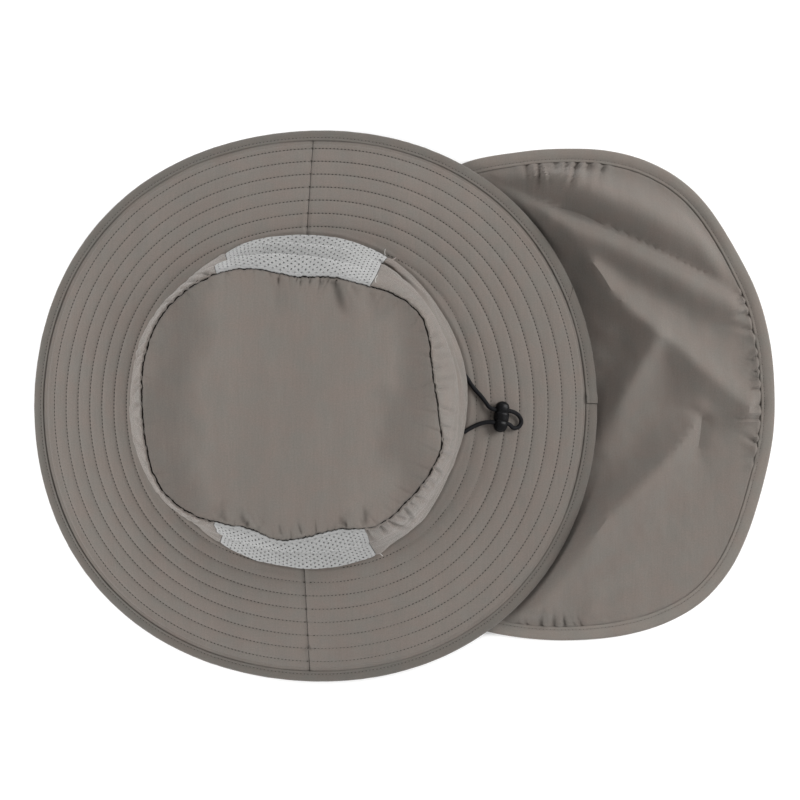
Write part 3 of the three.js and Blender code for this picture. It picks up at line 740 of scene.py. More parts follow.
def make_stopper():
    """A two-hole stopper: a long rounded body, a raised band round its middle and a groove at each side."""
    rings, sides = 61, 40
    along = -np.cos(np.linspace(0, np.pi, rings)) * STOPPER_LENGTH / 2
    reach = np.abs(along) / (STOPPER_LENGTH / 2)
    end = np.sqrt(np.clip(1 - np.clip((reach - 0.5) / 0.5, 0, 1) ** 2.6, 0, 1))
    band = smooth(-np.abs(along), -2.5, -1.9)
    groove = bell(np.abs(along) - 2.9, 0.45)
    grip = bell(np.abs(along) - 6.6, 0.3)
    size = end * (0.93 + 0.07 * band - 0.09 * groove - 0.025 * grip)
    turn = np.linspace(0, 2 * np.pi, sides, endpoint=False)
    round_x = np.sign(np.cos(turn)) * np.abs(np.cos(turn)) ** 0.8
    round_z = np.sign(np.sin(turn)) * np.abs(np.sin(turn)) ** 0.8
    x = size[:, None] * STOPPER_WIDTH / 2 * round_x
    z = size[:, None] * STOPPER_HEIGHT / 2 * round_z
    local = stack(x, along[:, None], z)
    centre, x_axis, y_axis, z_axis = stopper_frame()
    axes = np.stack([x_axis, y_axis, z_axis])
    points = centre + local.reshape(-1, 3) @ axes
    i = np.arange(rings - 1)
    seam = np.stack([i * sides + sides - 1, (i + 1) * sides + sides - 1, (i + 1) * sides, i * sides], -1)
    faces = np.concatenate([grid_faces(rings, sides, False), seam])
    body = make_object("stopper_body", points, [faces], sharp=STOPPER_SHARP)
    bpy.context.view_layer.update()
    tidy_mesh(body)
    for side in (1, -1):
        middle = centre + y_axis * side * STOPPER_HOLES / 2
        bit = tube("bit", [middle - x_axis * 8, middle + x_axis * 8], STOPPER_BORE, 24)
        tidy_mesh(bit)
        cut_away(body, bit)
    body.data.set_sharp_from_angle(angle=math.radians(STOPPER_SHARP))
    return finish_piece(body, PLASTIC, "stopper", "cord_stopper")


def tidy_mesh(obj):
    """Merges points that meet, and turns all faces outwards."""
    mesh = bmesh.new()
    mesh.from_mesh(obj.data)
    bmesh.ops.remove_doubles(mesh, verts=mesh.verts, dist=1e-6)
    bmesh.ops.recalc_face_normals(mesh, faces=mesh.faces)
    mesh.to_mesh(obj.data)
    mesh.free()


def cut_away(body, bit):
    cut = body.modifiers.new("cut", "BOOLEAN")
    cut.operation, cut.object, cut.solver = "DIFFERENCE", bit, "EXACT"
    bpy.context.view_layer.update()
    made = bpy.data.meshes.new_from_object(body.evaluated_get(bpy.context.evaluated_depsgraph_get()))
    body.modifiers.clear()
    body.data = made
    bpy.data.objects.remove(bit)


cord, cord_path, cord_length = make_cord()
stopper = make_stopper()

# Brim: rows of stitches at set distances from the rim, quilting between them
# heading, distance of the first row from the rim, distance from row to row
STITCH_ROWS = np.array([(0, 12.8, 8.4), (90, 11.3, 7.9), (180, 13.0, 7.45), (270, 12.5, 8.0)])
ROW_COUNT = 8
ALIGNED_ROWS = 6
# How far the innermost row lies farther in at the right of the head, and over how many degrees
EXTRA_SHIFT, EXTRA_REACH = 1.7, 32
GROOVE_DEPTH, GROOVE_WIDTH, QUILT_PUFF = 0.26, 0.6, 0.3
# Where the crease beside the brim's tape lies, from the rim
TAPE_CREASE = 8.4
# Thickness of the dressed cloth, and half the gap at the brim's side seams in degrees
BRIM_CLOTH, BRIM_SLACK = BRIM_WALL - 0.3, math.degrees(GAP / 2 / 97)


def row_sizes(heading):
    """Distance of the first row from the rim, and from row to row, at a heading."""
    turn = np.mod(heading, 360) / 90
    i = np.floor(turn).astype(int) % 4
    f = smooth(turn - np.floor(turn), 0, 1)
    return tuple(mix(STITCH_ROWS[i, k], STITCH_ROWS[(i + 1) % 4, k], f) for k in (1, 2))


def row_shift(heading, row):
    """How far the innermost row lies farther in than the others' even steps, at the right of the head."""
    return EXTRA_SHIFT * bell(np.mod(heading + 90, 360) - 180, EXTRA_REACH) * smooth(row, 6, 7)


def rim_radius(heading):
    return brim_outer(heading) + NOSE


def row_radius(heading, row):
    """Radius of a row of stitches, counted from the rim."""
    first, pitch = row_sizes(heading)
    return rim_radius(heading) - first - row * pitch - row_shift(heading, row)


brim_wave = ripples(11, 38)
brim_crumple = ripples(12, 13)


def quilting(heading, radius):
    """Height of the brim's outer side over the middle of its cloth."""
    first, pitch = row_sizes(heading)
    away = rim_radius(heading) - radius
    left = radius - brim_inner(heading)
    phase = (away - first) / pitch
    phase = phase - row_shift(heading, phase) / pitch
    nearest = np.clip(np.round(phase), 0, ROW_COUNT - 1)
    to_row = np.abs(phase - nearest) * pitch
    there = smooth(row_radius(heading, nearest) - brim_inner(heading), 0.3, 1.5)
    groove = GROOVE_DEPTH * bell(to_row, GROOVE_WIDTH) * there
    swell = np.clip(to_row / (pitch / 2), 0, 1)
    puff = QUILT_PUFF * (1 - (1 - swell) ** 2.2)
    turn = np.radians(heading)
    x, y = HEAD[0] + radius * np.cos(turn), HEAD[1] + radius * np.sin(turn)
    uneven = 0.35 * brim_wave(x, y) + 0.09 * brim_crumple(x, y) * np.clip(to_row / 2, 0, 1)
    lip = 0.35 * bell(left - 1.4, 1.2) - 0.15 * bell(left, 0.4)
    under_tape = -0.2 * smooth(-away, -8.5, -7.6) - 0.4 * bell(away - TAPE_CREASE, 0.35)
    return BRIM_WALL / 2 - 0.15 + puff - groove + uneven * 0.45 * smooth(left, 0, 6) + lip + under_tape


def seam_dip(heading, radius):
    """How far the cloth dips into the brim's two side seams."""
    dip = 0
    for at in BRIM_SEAMS:
        off = np.radians(np.mod(heading - at + 180, 360) - 180) * radius
        dip = dip + 0.75 * bell(off, 0.7) - 0.18 * bell(np.abs(off) - 2.2, 1.2)
    return dip


def brim_surface(heading, radius):
    height = brim_height(heading, radius) + quilting(heading, radius) - seam_dip(heading, radius)
    return from_head(heading, radius, height)


def brim_stations(heading):
    """Radii of the brim's rows of points: they follow the rows of stitches, then fill up to the crown."""
    first, pitch = row_sizes(heading)
    rim, inner = rim_radius(heading), brim_inner(heading)
    phases = np.array([0, 0.06, 0.13, 0.24, 0.42, 0.6, 0.76, 0.87, 0.94])
    away = [distance + 0 * first for distance in (NOSE, 3.5, 5.8, 7.2, 7.8, 8.1, 8.4, 8.7, 9.0, 9.6, 10.4)]
    away += [first + pitch * (k + phase) for k in range(ALIGNED_ROWS - 1) for phase in phases]
    start = first + pitch * (ALIGNED_ROWS - 1)
    away += [mix(start, rim - inner + 0.45, share) for share in np.linspace(0, 1, 27)]
    return rim[:, None] - np.stack(away, axis=1)


def make_brim_half(name, node, start, end, columns):
    heading = np.linspace(start + BRIM_SLACK, end - BRIM_SLACK, columns)
    radius = brim_stations(heading)
    spread = np.broadcast_to(heading[:, None], radius.shape)
    outer = brim_surface(spread, radius)
    cloth = outer[..., :2].copy()
    finish_piece(shell(name, outer, BRIM_CLOTH, cloth, UPWARDS), SHELL, "shell_cloth", node)


def brim_normal(heading, radius):
    step = 0.4
    out = brim_height(heading, radius + step) - brim_height(heading, radius - step)
    turn = np.radians(heading)
    return unit(stack(-np.cos(turn) * out / (2 * step), -np.sin(turn) * out / (2 * step), 1.0))


def make_brim_stitches():
    stitching = Stitching(21)
    heading = np.linspace(BRIM_SEAMS[0], BRIM_SEAMS[0] + 360, 2401)
    for k in range(ROW_COUNT):
        radius = row_radius(heading, k)
        there = radius > brim_inner(heading) + 0.5
        runs = np.split(np.arange(len(heading)), np.flatnonzero(np.diff(there.astype(int))) + 1)
        for run in runs:
            if there[run[0]] and len(run) > 20:
                points = brim_surface(heading[run], radius[run])
                stitching.along(points, brim_normal(heading[run], radius[run]))
    stitching.make("brim_stitches", "shell_cloth", 1.3, 0.15, 0.44)


make_brim_half("brim_back_cloth", "brim_back", BRIM_SEAMS[1] - 360, BRIM_SEAMS[0], 220)
make_brim_half("brim_front_cloth", "brim_front", BRIM_SEAMS[0], BRIM_SEAMS[1], 245)
make_brim_stitches()


# Tape folded over an edge: how far its inner edge stands over the cloth, and its stitches from that edge
TAPE_RISE, TAPE_STITCH = 0.75, 1.85


def tape_section(half_cloth, width):
    """Outline of a folded tape: x inwards from the cloth's edge, y up from the cloth's middle."""
    top = half_cloth + TAPE_RISE
    upper = [
        (width - 0.5, half_cloth + 0.05), (width + 0.05, half_cloth + 0.12), (width + 0.12, top - 0.3),
        (width - 0.05, top - 0.06), (width - 0.45, top), (width - 1.0, top - 0.04), (width - 1.5, top - 0.14),
        (width - TAPE_STITCH, top - 0.2), (width - 2.2, top - 0.14), (width - 2.8, top + 0.05),
        (width * 0.35, top + 0.25), (width * 0.12, top + 0.15), (-0.4, top - 0.1), (-1.0, top * 0.6),
        (-NOSE, top * 0.2),
    ]
    lower = [(x, -y) for x, y in upper[::-1]]
    inner = half_cloth - 0.15
    inside = [(width - 0.6, -inner), (1.0, -inner), (1.0, inner), (width - 0.6, inner)]
    return np.array(upper + lower + inside)


def tape_mesh(name, edge, inwards, up, section, wobble, rise=0.0):
    """Sweeps a section along an edge. At each station the wobble thickens the tape and the rise lifts it."""
    x, y = section[:, 0][None, :], section[:, 1][None, :]
    y = y + np.sign(y) * wobble[:, None] + np.asarray(rise).reshape(-1, 1)
    points = edge[:, None] + inwards[:, None] * x[..., None] + up[:, None] * y[..., None]
    points[..., 2] = np.maximum(points[..., 2], 0.02)
    cloth = flat_cloth(lengths_along(edge)[:, None], lengths_along(section)[None, :])
    faces = tube_faces(len(edge), len(section))
    obj = make_object(name, points.reshape(-1, 3), faces, cloth.reshape(-1, 2))
    tidy_mesh(obj)
    obj.data.set_sharp_from_angle(angle=math.radians(50))
    return obj


# The brim's tape: its width, and the heading where its two ends overlap
BRIM_TAPE, SPLICE = 6.7, -0.3
# Headings of the lines of painted shade across it, at the rim and at its inner edge: the slanting seam where
# two lengths of tape are joined, and the cut edge where the ends overlap
TAPE_JOINS = {"brim_tape_join": (22.8, 20.2), "brim_tape_overlap": (SPLICE - 0.1, SPLICE - 0.04)}


def brim_tape_frame(heading):
    """Edge of the brim's cloth, the way inwards along the cloth and the way up, at many headings."""
    outer = brim_outer(heading)
    edge = from_head(heading, outer, brim_height(heading, outer))
    back = from_head(heading, outer - 7, brim_height(heading, outer - 7))
    inwards = unit(back - edge)
    up = unit(np.cross(np.gradient(edge, axis=0), inwards))
    return edge, inwards, up * np.sign(up[:, 2:3])


def make_brim_tape():
    heading = np.linspace(SPLICE, SPLICE + 361.3, 520)
    edge, inwards, up = brim_tape_frame(heading)
    section = tape_section(BRIM_WALL / 2, BRIM_TAPE)
    along = lengths_along(edge)
    wobble = ripples(31, 16)(along, 0) * 0.05 + ripples(32, 5.5)(along, 0) * 0.04
    rise = 0.75 * smooth(-heading, -SPLICE - 2.4, -SPLICE - 1.4)
    rise = rise - 0.1 * smooth(heading, SPLICE + 358, SPLICE + 360)
    tape = tape_mesh("brim_tape", edge, inwards, up, section, wobble, rise)
    finish_piece(tape, TAPE, "edge_tape", "brim_binding")
    stitching = Stitching(22)
    x, y = BRIM_TAPE - TAPE_STITCH, BRIM_WALL / 2 + TAPE_RISE - 0.2
    line = edge + inwards * x + up * (y + rise[:, None] + wobble[:, None])
    stitching.along(line[4:-4], up[4:-4])
    stitching.make("brim_tape_stitches", "edge_tape", 1.6, 0.16, 0.3)
    make_tape_join(section)


def make_tape_join(section):
    """Lines of painted shade across the tape where it is joined and where it overlaps."""
    top = section[section[:, 1] > BRIM_WALL / 2 + 0.3]
    x = np.linspace(-0.6, 6.6, 16)
    y = np.interp(x, top[::-1, 0], top[::-1, 1])
    for name, ends in TAPE_JOINS.items():
        edge, inwards, up = brim_tape_frame(np.linspace(*ends, 16))
        line = edge + inwards * x[:, None] + up * y[:, None]
        finish_piece(tube(name, line, 0.14, 6), PAINTED_HOLE_AND_JOIN_SHADE, "edge_tape")


make_brim_tape()

# Crown
SIDE_HEIGHT = 78.0
# Mean radius of the tip's seam and of the crown's side, and the length of the tip's seam
SEAM_ROUND, SIDE_ROUND = 81.0, 90
SEAM_LENGTH = 2 * np.pi * SEAM_ROUND
# Half the gap at an upright seam in degrees, at a cloth panel and at a window
PANEL_SLACK, WINDOW_SLACK = math.degrees(GAP / 2 / 71), math.degrees(GAP / 2 / 80)
# Folds of the crown's side, each an edge that the cloth hangs over: heading, radius, share of the height that
# drops there, share that the cloth dips just outside the edge
SIDE_FOLDS = [np.array(fold) for fold in [
    # from the right window round the back of the head
    [
        (-26, 92.5, 0, 0), (-14, 91.8, 0.1, 0.03), (0, 90.8, 0.2, 0.05), (15, 90.5, 0.24, 0.07),
        (30, 90.4, 0.24, 0.1), (45, 90.8, 0.26, 0.14), (56, 91.2, 0.28, 0.15), (62, 91.1, 0.3, 0.02),
        (70, 90.2, 0.3, 0.01), (88, 89.2, 0.28, 0), (100, 90.8, 0.22, 0), (112, 92.5, 0, 0),
    ],
    # upper fold of the right window
    [
        (62, 83, 0, 0), (70, 82, 0.12, 0), (78, 81.2, 0.22, 0), (88, 81.3, 0.28, 0),
        (100, 83.4, 0.34, 0.01), (111, 86.4, 0.38, 0.01), (118, 87.5, 0.32, 0.02),
        (123, 88.0, 0.16, 0.01), (130, 88.4, 0, 0),
    ],
    # fold along the left window
    [
        (231, 86, 0, 0), (238, 85.2, 0.28, 0.01), (246, 83.8, 0.42, 0), (258, 82.8, 0.48, 0),
        (271, 83.4, 0.48, 0), (281, 85, 0.46, 0), (290, 86.8, 0.4, 0), (298, 88.8, 0.22, 0),
        (310, 91.5, 0, 0),
    ],
    # short crease low at the back
    [
        (4, 93.6, 0, 0), (8, 93.2, 0.06, 0.03), (13, 92.8, 0.06, 0.03), (18, 93.0, 0, 0),
    ],
]]
# Upright seams: share of the height, heading
RIGHT_REAR = [(0, 58.0), (0.5, 58.5), (1, 56.8)]
RIGHT_FRONT = [(0, 115.8), (0.58, 116.2), (0.8, 120.5), (1, 121.0)]
LEFT_FRONT = [(0, 241.3), (0.6, 241.0), (0.78, 240.7), (0.88, 238.6), (1, 236.6)]
LEFT_REAR = [(0, 297.4), (0.6, 297.3), (1, 299.0)]
# How much of the cloth is knit, which lies at one slope: heading, share
KNIT_SPAN = np.array([(52, 0), (61, 1), (114, 1), (123, 0), (234, 0), (243, 1), (296, 1), (305, 0)])
# How much of the height the cloth stands upright over the brim: heading, share
FOOT = np.array([
    (0, 0.25), (40, 0.24), (58, 0.2), (70, 0.2), (95, 0.2), (116, 0.26), (135, 0.36), (180, 0.42),
    (225, 0.34), (241, 0.28), (262, 0.27), (285, 0.29), (300, 0.32), (330, 0.34),
])
side_wave = ripples(41, 30)
side_crumple = ripples(42, 11)
side_crinkle = ripples(43, 5)


def fold_value(fold, column, heading):
    """A fold's radius or drop round the head, smooth from row to row."""
    middle = (fold[0, 0] + fold[-1, 0]) / 2
    near = np.mod(heading - middle + 180, 360) - 180 + middle
    spread = np.arange(-3, 3.01, 0.5)
    weight = bell(spread, 1.6)
    values = [np.interp(near + s, fold[:, 0], fold[:, column]) * w for s, w in zip(spread, weight)]
    return sum(values) / weight.sum()


def side_profiles(headings=720, shares=321):
    """Radius and height of the side's cloth, for each heading at equal steps along the cloth."""
    heading = np.arange(headings) * 360 / headings
    base, seam = crown_radius(BASE, heading)[:, None], crown_radius(SEAM, heading)[:, None]
    across = np.linspace(0, 1, 1600)[None, :]
    radius = mix(base, seam, across)
    knit = np.interp(heading, KNIT_SPAN[:, 0], KNIT_SPAN[:, 1])[:, None]
    steep = mix(1.6 - 1.1 * across - 0.6 * bell(across * (base - seam), 3.0), 1.05 - 0.25 * across, knit)
    foot = around(FOOT, 1, heading)[:, None]
    rise = foot * smooth(across * (base - seam), 0, 0.3)
    spent = foot
    for fold in SIDE_FOLDS:
        edge, drop, hollow = (fold_value(fold, column, heading)[:, None] for column in (1, 2, 3))
        inside = np.maximum(edge + 0.15 - radius, 0)
        strength = drop / 0.25
        flatter = mix(0.62, 0.25, knit) * np.minimum(strength, 1)
        steep = steep * (1 - flatter * np.exp(-inside / 4.0) * (radius < edge))
        rounded = 1 - mix(0.16, 0.1, knit) * np.exp(-inside / 0.8)
        rise = rise + drop * rounded * smooth(-radius, -edge - 0.15, -edge + 0.15)
        rise = rise - hollow * bell(np.maximum(radius - edge - 0.15, 0), 2.2) * (radius > edge)
        spent = spent + drop
    climb = np.cumsum(np.maximum(steep, 0.12), axis=1)
    rise = rise + (1 - spent) * (climb - climb[:, :1]) / (climb[:, -1:] - climb[:, :1])
    height = mix(BASE_HEIGHT - BRIM_WALL / 2, seam_height(heading)[:, None], rise)
    share = np.linspace(0, 1, shares)
    table = np.zeros((headings, shares, 2))
    for i in range(headings):
        length = lengths_along(np.stack([radius[i], height[i]], axis=-1))
        for k, values in enumerate((radius[i], height[i])):
            table[i, :, k] = np.interp(share * length[-1], length, values)
    return table


SIDE_PROFILES = side_profiles()


def side_place(heading, share):
    """Radius and height of the middle of the side's cloth: share 0 at the brim, 1 at the tip's seam."""
    headings, shares = SIDE_PROFILES.shape[:2]
    i, f = np.divmod(np.mod(heading, 360) * headings / 360, 1)
    j, g = np.divmod(np.clip(share, 0, 1) * (shares - 1), 1)
    i, j = i.astype(int) % headings, np.minimum(j.astype(int), shares - 2)
    g = np.where(np.clip(share, 0, 1) >= 1, 1.0, g)
    after = (i + 1) % headings
    f, g = f[..., None], g[..., None]
    low = mix(SIDE_PROFILES[i, j], SIDE_PROFILES[i, j + 1], g)
    high = mix(SIDE_PROFILES[after, j], SIDE_PROFILES[after, j + 1], g)
    place = mix(low, high, f)
    return place[..., 0], place[..., 1]


def puckers_round(table):
    """The puckers of a table's rows, which start and end at headings of the tip's seam."""
    degree = SEAM_ROUND * math.pi / 180
    made = [puckers(seed, start * degree, end * degree, *ranges) for seed, start, end, *ranges in table]
    return sum(made, [])


# Puckers of the crown's side: seed, first and last heading, spacing, then ranges of length, depth, width and
# slant. The last two rows are small ones, from stitch to stitch of the tip's seam
SIDE_PUCKERS = puckers_round([
    (51, -60, -14, 5.4, (10, 34), (0.7, 1.8), (1.2, 2.4), (-0.08, 0.14)),
    (52, -14, 30, 7.0, (8, 26), (0.7, 1.5), (1.3, 2.4), (-0.15, 0.15)),
    (53, 30, 57, 7.5, (6, 14), (0.3, 0.7), (1.1, 2.0), (-0.15, 0.15)),
    (54, 60, 116, 9.0, (5, 12), (0.15, 0.35), (1.6, 2.8), (-0.1, 0.1)),
    (55, 124, 182, 6.5, (16, 46), (1.0, 2.2), (1.3, 2.4), (0.1, 0.32)),
    (56, 182, 234, 7.0, (14, 42), (0.9, 1.9), (1.3, 2.4), (-0.25, -0.02)),
    (57, 240, 296, 9.0, (5, 12), (0.15, 0.4), (1.6, 2.6), (-0.1, 0.1)),
    (58, -60, 57, 2.9, (4, 10), (0.3, 0.65), (0.7, 1.1), (-0.1, 0.1)),
    (59, 122, 236, 2.9, (4, 10), (0.2, 0.5), (0.7, 1.1), (-0.1, 0.1)),
])


def side_surface(heading, share, out=0.0):
    """Outer side of the crown's side cloth: share 0 at the brim, 1 at the tip's seam."""
    heading, share = np.broadcast_arrays(np.asarray(heading, float), np.asarray(share, float))
    radius, height = side_place(heading, share)
    below = (1 - share) * SIDE_HEIGHT
    along = np.radians(heading) * SEAM_ROUND
    held = np.sin(np.pi * np.clip(share, 0, 1))
    pulled = pucker_height(SIDE_PUCKERS, along, below, SEAM_LENGTH)
    uneven = 0.4 * side_wave(along, below) + 0.2 * side_crumple(along, below)
    uneven = uneven + 0.07 * side_crinkle(along, below)
    return from_head(heading, radius + pulled + uneven * held + CROWN_WALL / 2 + out, height)


# The rounded top of the side cloth: distance outwards from its outer side, and down from the seam's height
SEAM_ROLL = [(-0.08, 0.4), (-0.25, 0.08), (-0.55, 0.0), (-0.85, 0.2), (-1.05, 0.7), (-1.1, 1.6), (-1.1, 3.2)]
seam_waver = ripples(61, 7)
seam_wander = ripples(62, 19)


def scallop(along):
    """How the stitches of a seam draw its edge in and out."""
    heading = np.degrees(along / SEAM_ROUND)
    beside_knit = bell(np.mod(heading, 180) - 90, 32)
    stitched = 0.11 * (1 + 0.9 * beside_knit) * np.cos(2 * np.pi * along / 2.9 + 2 * seam_waver(along, 5))
    return stitched + 0.2 * seam_waver(along, 0) + 0.16 * seam_wander(along, 0)


def seam_at(seam, share):
    """Heading of an upright seam at a share of the height."""
    at, heading = np.array(seam).T
    i = np.clip(np.searchsorted(at, share, side="right") - 1, 0, len(at) - 2)
    return mix(heading[i], heading[i + 1], smooth((share - at[i]) / (at[i + 1] - at[i]), 0, 1))


def rolled_top(heading, tuck=0.0):
    """Rows of points that roll the top edge of the side's cloth into the tip's seam, drawn in by the tuck."""
    along = np.radians(heading) * SEAM_ROUND
    pulled = 0.4 * pucker_height(SIDE_PUCKERS, along, 1.0, SEAM_LENGTH)
    rows = []
    for out, down in SEAM_ROLL:
        out = out - tuck * (1 + out / 1.1)
        drawn = scallop(along) * smooth(-out, 0.2, 0.7)
        radius = crown_radius(SEAM, heading) + CROWN_WALL / 2 + out + pulled - drawn
        rows.append(from_head(heading, radius, seam_height(heading) - down - 0.12 * np.abs(scallop(along))))
    return np.concatenate(rows, axis=1)


def from_axis(points):
    """Level directions from the middle of the head to the points."""
    out = points - np.array([HEAD[0], HEAD[1], 0])
    out[..., 2] = 0
    return unit(out)


def side_columns(start, end, columns, rows):
    """Grid of the outer side of one side panel, its top edge rolled into the seam, its flat cloth and its
    headings."""
    share = np.linspace(0, 0.985, rows)[None, :]
    across = np.linspace(0, 1, columns)[:, None]
    heading = mix(seam_at(start, share) + PANEL_SLACK, seam_at(end, share) - PANEL_SLACK, across)
    top = mix(start[-1][1] + PANEL_SLACK, end[-1][1] - PANEL_SLACK, across)
    grid = np.concatenate([side_surface(heading, share), rolled_top(top)], axis=1)
    roll = SIDE_HEIGHT + np.arange(len(SEAM_ROLL))[None, :]
    cloth = [flat_cloth(np.radians(heading) * SIDE_ROUND, share * SIDE_HEIGHT),
             flat_cloth(np.radians(top) * SIDE_ROUND, roll)]
    return grid, np.concatenate(cloth, axis=1), heading


def dip_at_ends(grid, heading, reach=1.1, deep=0.45):
    """Draws a panel's ends in where they are sewn to the next panel."""
    width = np.abs(np.radians(heading[:1, :1] - heading[-1:, :1]) * SIDE_ROUND)
    off = np.linspace(0, 1, grid.shape[0])[:, None] * width
    off = np.minimum(off, width - off)
    return grid - from_axis(grid) * (deep * bell(off, reach))[..., None]


def make_side_panel(name, node, start, end, columns, rows=90):
    grid, cloth, heading = side_columns(start, end, columns, rows)
    grid = dip_at_ends(grid, heading)
    finish_piece(shell(name, grid, 0.5, cloth, from_axis(grid)), SHELL, "shell_cloth", node)


def before(seam):
    return [(share, heading - 360) for share, heading in seam]


make_side_panel("crown_back_cloth", "crown_back_panel", before(LEFT_REAR), RIGHT_REAR, 240)
make_side_panel("crown_front_cloth", "crown_front_panel", RIGHT_FRONT, LEFT_FRONT, 220)

# Perforated windows
HOLE_ALONG, HOLE_UP, HOLE_RADIUS = 4.4, 1.8, 0.52
# The knit's thickness, its length up the side, and how far its top edge is drawn in at the tip's seam
KNIT_WALL, WINDOW_CLOTH, KNIT_TUCK = 0.5, 86.0, 0.55


def window_surface(heading, share):
    foot = bell(share, 0.02)
    return side_surface(heading, share, -0.35 * (1 - foot) - KNIT_TUCK * smooth(share, 0.96, 0.99))


def hole_grid(nu, nv):
    """Middles of the holes on a grid of points, each row shifted by half a step, and the faces they open."""
    opened = np.zeros((nu, nv), bool)
    centres = []
    for row, v in enumerate(range(3, nv, 2)):
        for u in range(2 + 2 * (row % 2), nu - 1, 4):
            centres.append((u, v))
            opened[u - 2:u + 2, v - 1:v + 1] = True
    return np.array(centres), opened


def point_normals(points, quads):
    """Normals of points, from the faces round them."""
    normal = np.zeros_like(points)
    for quad in quads:
        a, b, c, d = (points[quad[:, k]] for k in range(4))
        face = np.cross(c - a, d - b)
        for k in range(4):
            np.add.at(normal, quad[:, k], face)
    return unit(normal)


# The points of the knit's grid round a hole, counted from its middle
HOLE_U = np.array([-2, -1, 0, 1, 2, 2, 2, 1, 0, -1, -2, -2])
HOLE_V = np.array([-1, -1, -1, -1, -1, 0, 1, 1, 1, 1, 1, 0])


def make_window(name, node, start, end, seed):
    """A knit panel with real holes. Its grid of points is four to a hole along and two up, and each hole has
    a ring of points of its own."""
    step_u, step_v = HOLE_ALONG / 4, HOLE_UP / 2
    width = math.radians(end[0][1] - start[0][1]) * SIDE_ROUND
    nu, nv = int(round(width / step_u) // 2 * 2), int(round(WINDOW_CLOTH / step_v) // 2 * 2)
    rows = nv + 1

    def at(u, v):
        share = v / nv
        first, last = seam_at(start, share) + WINDOW_SLACK, seam_at(end, share) - WINDOW_SLACK
        place = window_surface(mix(first, last, u / nu), share * 0.994)
        near = np.minimum(np.minimum(u, nu - u) * step_u, 4.0)
        dipped = place - from_axis(place) * (0.3 * bell(near, 0.8))[..., None]
        return dipped.reshape(-1, 3), flat_cloth(u * step_u, v * step_v).reshape(-1, 2)

    centres, opened = hole_grid(nu, nv)
    angle = np.arctan2(HOLE_V * step_v, HOLE_U * step_u)
    size = np.random.default_rng(seed).uniform(0.9, 1.08, (len(centres), 1)) * HOLE_RADIUS
    du = size * np.cos(angle) / step_u
    dv = np.minimum(1.3 * size, 0.46 * HOLE_UP) * np.sin(angle) / step_v
    grid = at(*np.meshgrid(np.arange(nu + 1), np.arange(rows), indexing="ij"))
    rims = at(centres[:, :1] + du, centres[:, 1:] + dv)
    outer, cloth = (np.concatenate(parts) for parts in zip(grid, rims))
    total = len(outer)
    around_hole = (centres[:, :1] + HOLE_U) * rows + centres[:, 1:] + HOLE_V
    rim = len(grid[0]) + np.arange(around_hole.size).reshape(around_hole.shape)
    quads = [grid_faces(nu + 1, rows, False)[~opened.reshape(-1)], ring_quads(around_hole, rim)]
    normal = point_normals(outer, quads)
    if (normal * from_axis(outer)).sum() < 0:
        normal, quads = -normal, [q[:, ::-1] for q in quads]
    inner = [q[:, ::-1] + total for q in quads]
    edge = border(np.arange(len(grid[0])).reshape(nu + 1, rows))
    walls = [ring_quads(rim, rim + total), ring_quads(edge, edge + total)]
    points = np.concatenate([outer, outer - normal * KNIT_WALL])
    panel = make_object(name, points, quads + inner + walls, np.concatenate([cloth, cloth]), sharp=60)
    tidy_mesh(panel)
    panel.data.set_sharp_from_angle(angle=math.radians(60))
    finish_piece(panel, KNIT, "vent_mesh", node)


def make_window_edge(name, start, end):
    """The knit's top edge, turned over into the tip's seam, without holes."""
    heading = np.linspace(seam_at(start, 0.98) + 0.12, seam_at(end, 0.98) - 0.12, 130)[:, None]
    share = np.array([0.989, 0.993, 0.996])[None, :]
    lift = np.array([-0.6, -0.2, -0.05])[None, :] - KNIT_TUCK
    grid = np.concatenate([side_surface(heading, share, lift), rolled_top(heading, KNIT_TUCK)], axis=1)
    cloth = flat_cloth(np.radians(heading) * SIDE_ROUND, np.arange(grid.shape[1])[None, :] * 0.8)
    finish_piece(shell(name, grid, 0.4, cloth, from_axis(grid)), KNIT, "vent_mesh")


make_window("window_right_knit", "mesh_window_right", RIGHT_REAR, RIGHT_FRONT, 58)
make_window("window_left_knit", "mesh_window_left", LEFT_FRONT, LEFT_REAR, 59)
make_window_edge("window_right_edge", RIGHT_REAR, RIGHT_FRONT)
make_window_edge("window_left_edge", LEFT_FRONT, LEFT_REAR)

# Tip: dents and swells placed from the middle of the head
TIP_DENTS = [
    # x, y, reach along x, reach along y, depth
    (-68, -4, 9, 46, 2.8), (-47, -6, 6.5, 46, -1.5), (66, 4, 7, 40, 2.0), (52, 2, 6, 38, -0.9),
    (28, 55, 7, 11, 2.0), (-38, -61, 4, 7, 2.0),
]
TIP_CREASES = [
    # from x, y to x, y, width, depth; all from the middle of the head
    (-8.3, 63.5, -8.6, 69.8, 1.0, 2.0), (3.0, 63.0, 4.2, 69.4, 1.0, 1.8), (8.2, 65.0, 8.9, 69.2, 0.9, 1.6),
    (13.5, 61.5, 16.4, 69.4, 2.2, 2.2), (28.6, 46.5, 22.8, 67.5, 4.6, 4.2), (33.5, 50, 29.0, 65, 3.0, -2.6),
    (35.2, 55.0, 29.8, 67.5, 2.8, 2.4), (44, 50, 42, 63, 2.6, 1.6), (-8, 44, -10, 62, 5.0, 2.2),
    (-31.5, -58, -24.5, -68.5, 2.4, 1.6), (-27, -57, -20.4, -68.5, 2.2, -2.2),
    (-40, -54, -38.5, -65, 4.0, 2.4), (25.0, -61.5, 29.2, -69, 2.2, 1.8), (34, -57, 33.5, -68, 3.0, -2.2),
    (40.5, -57, 37.5, -66, 2.6, 1.6), (2, -66, 4, -72, 1.0, 1.4), (-8, -67, -7, -72.5, 1.0, 1.2),
]
tip_wave = ripples(71, 34, along=1.5, spread=0.5)
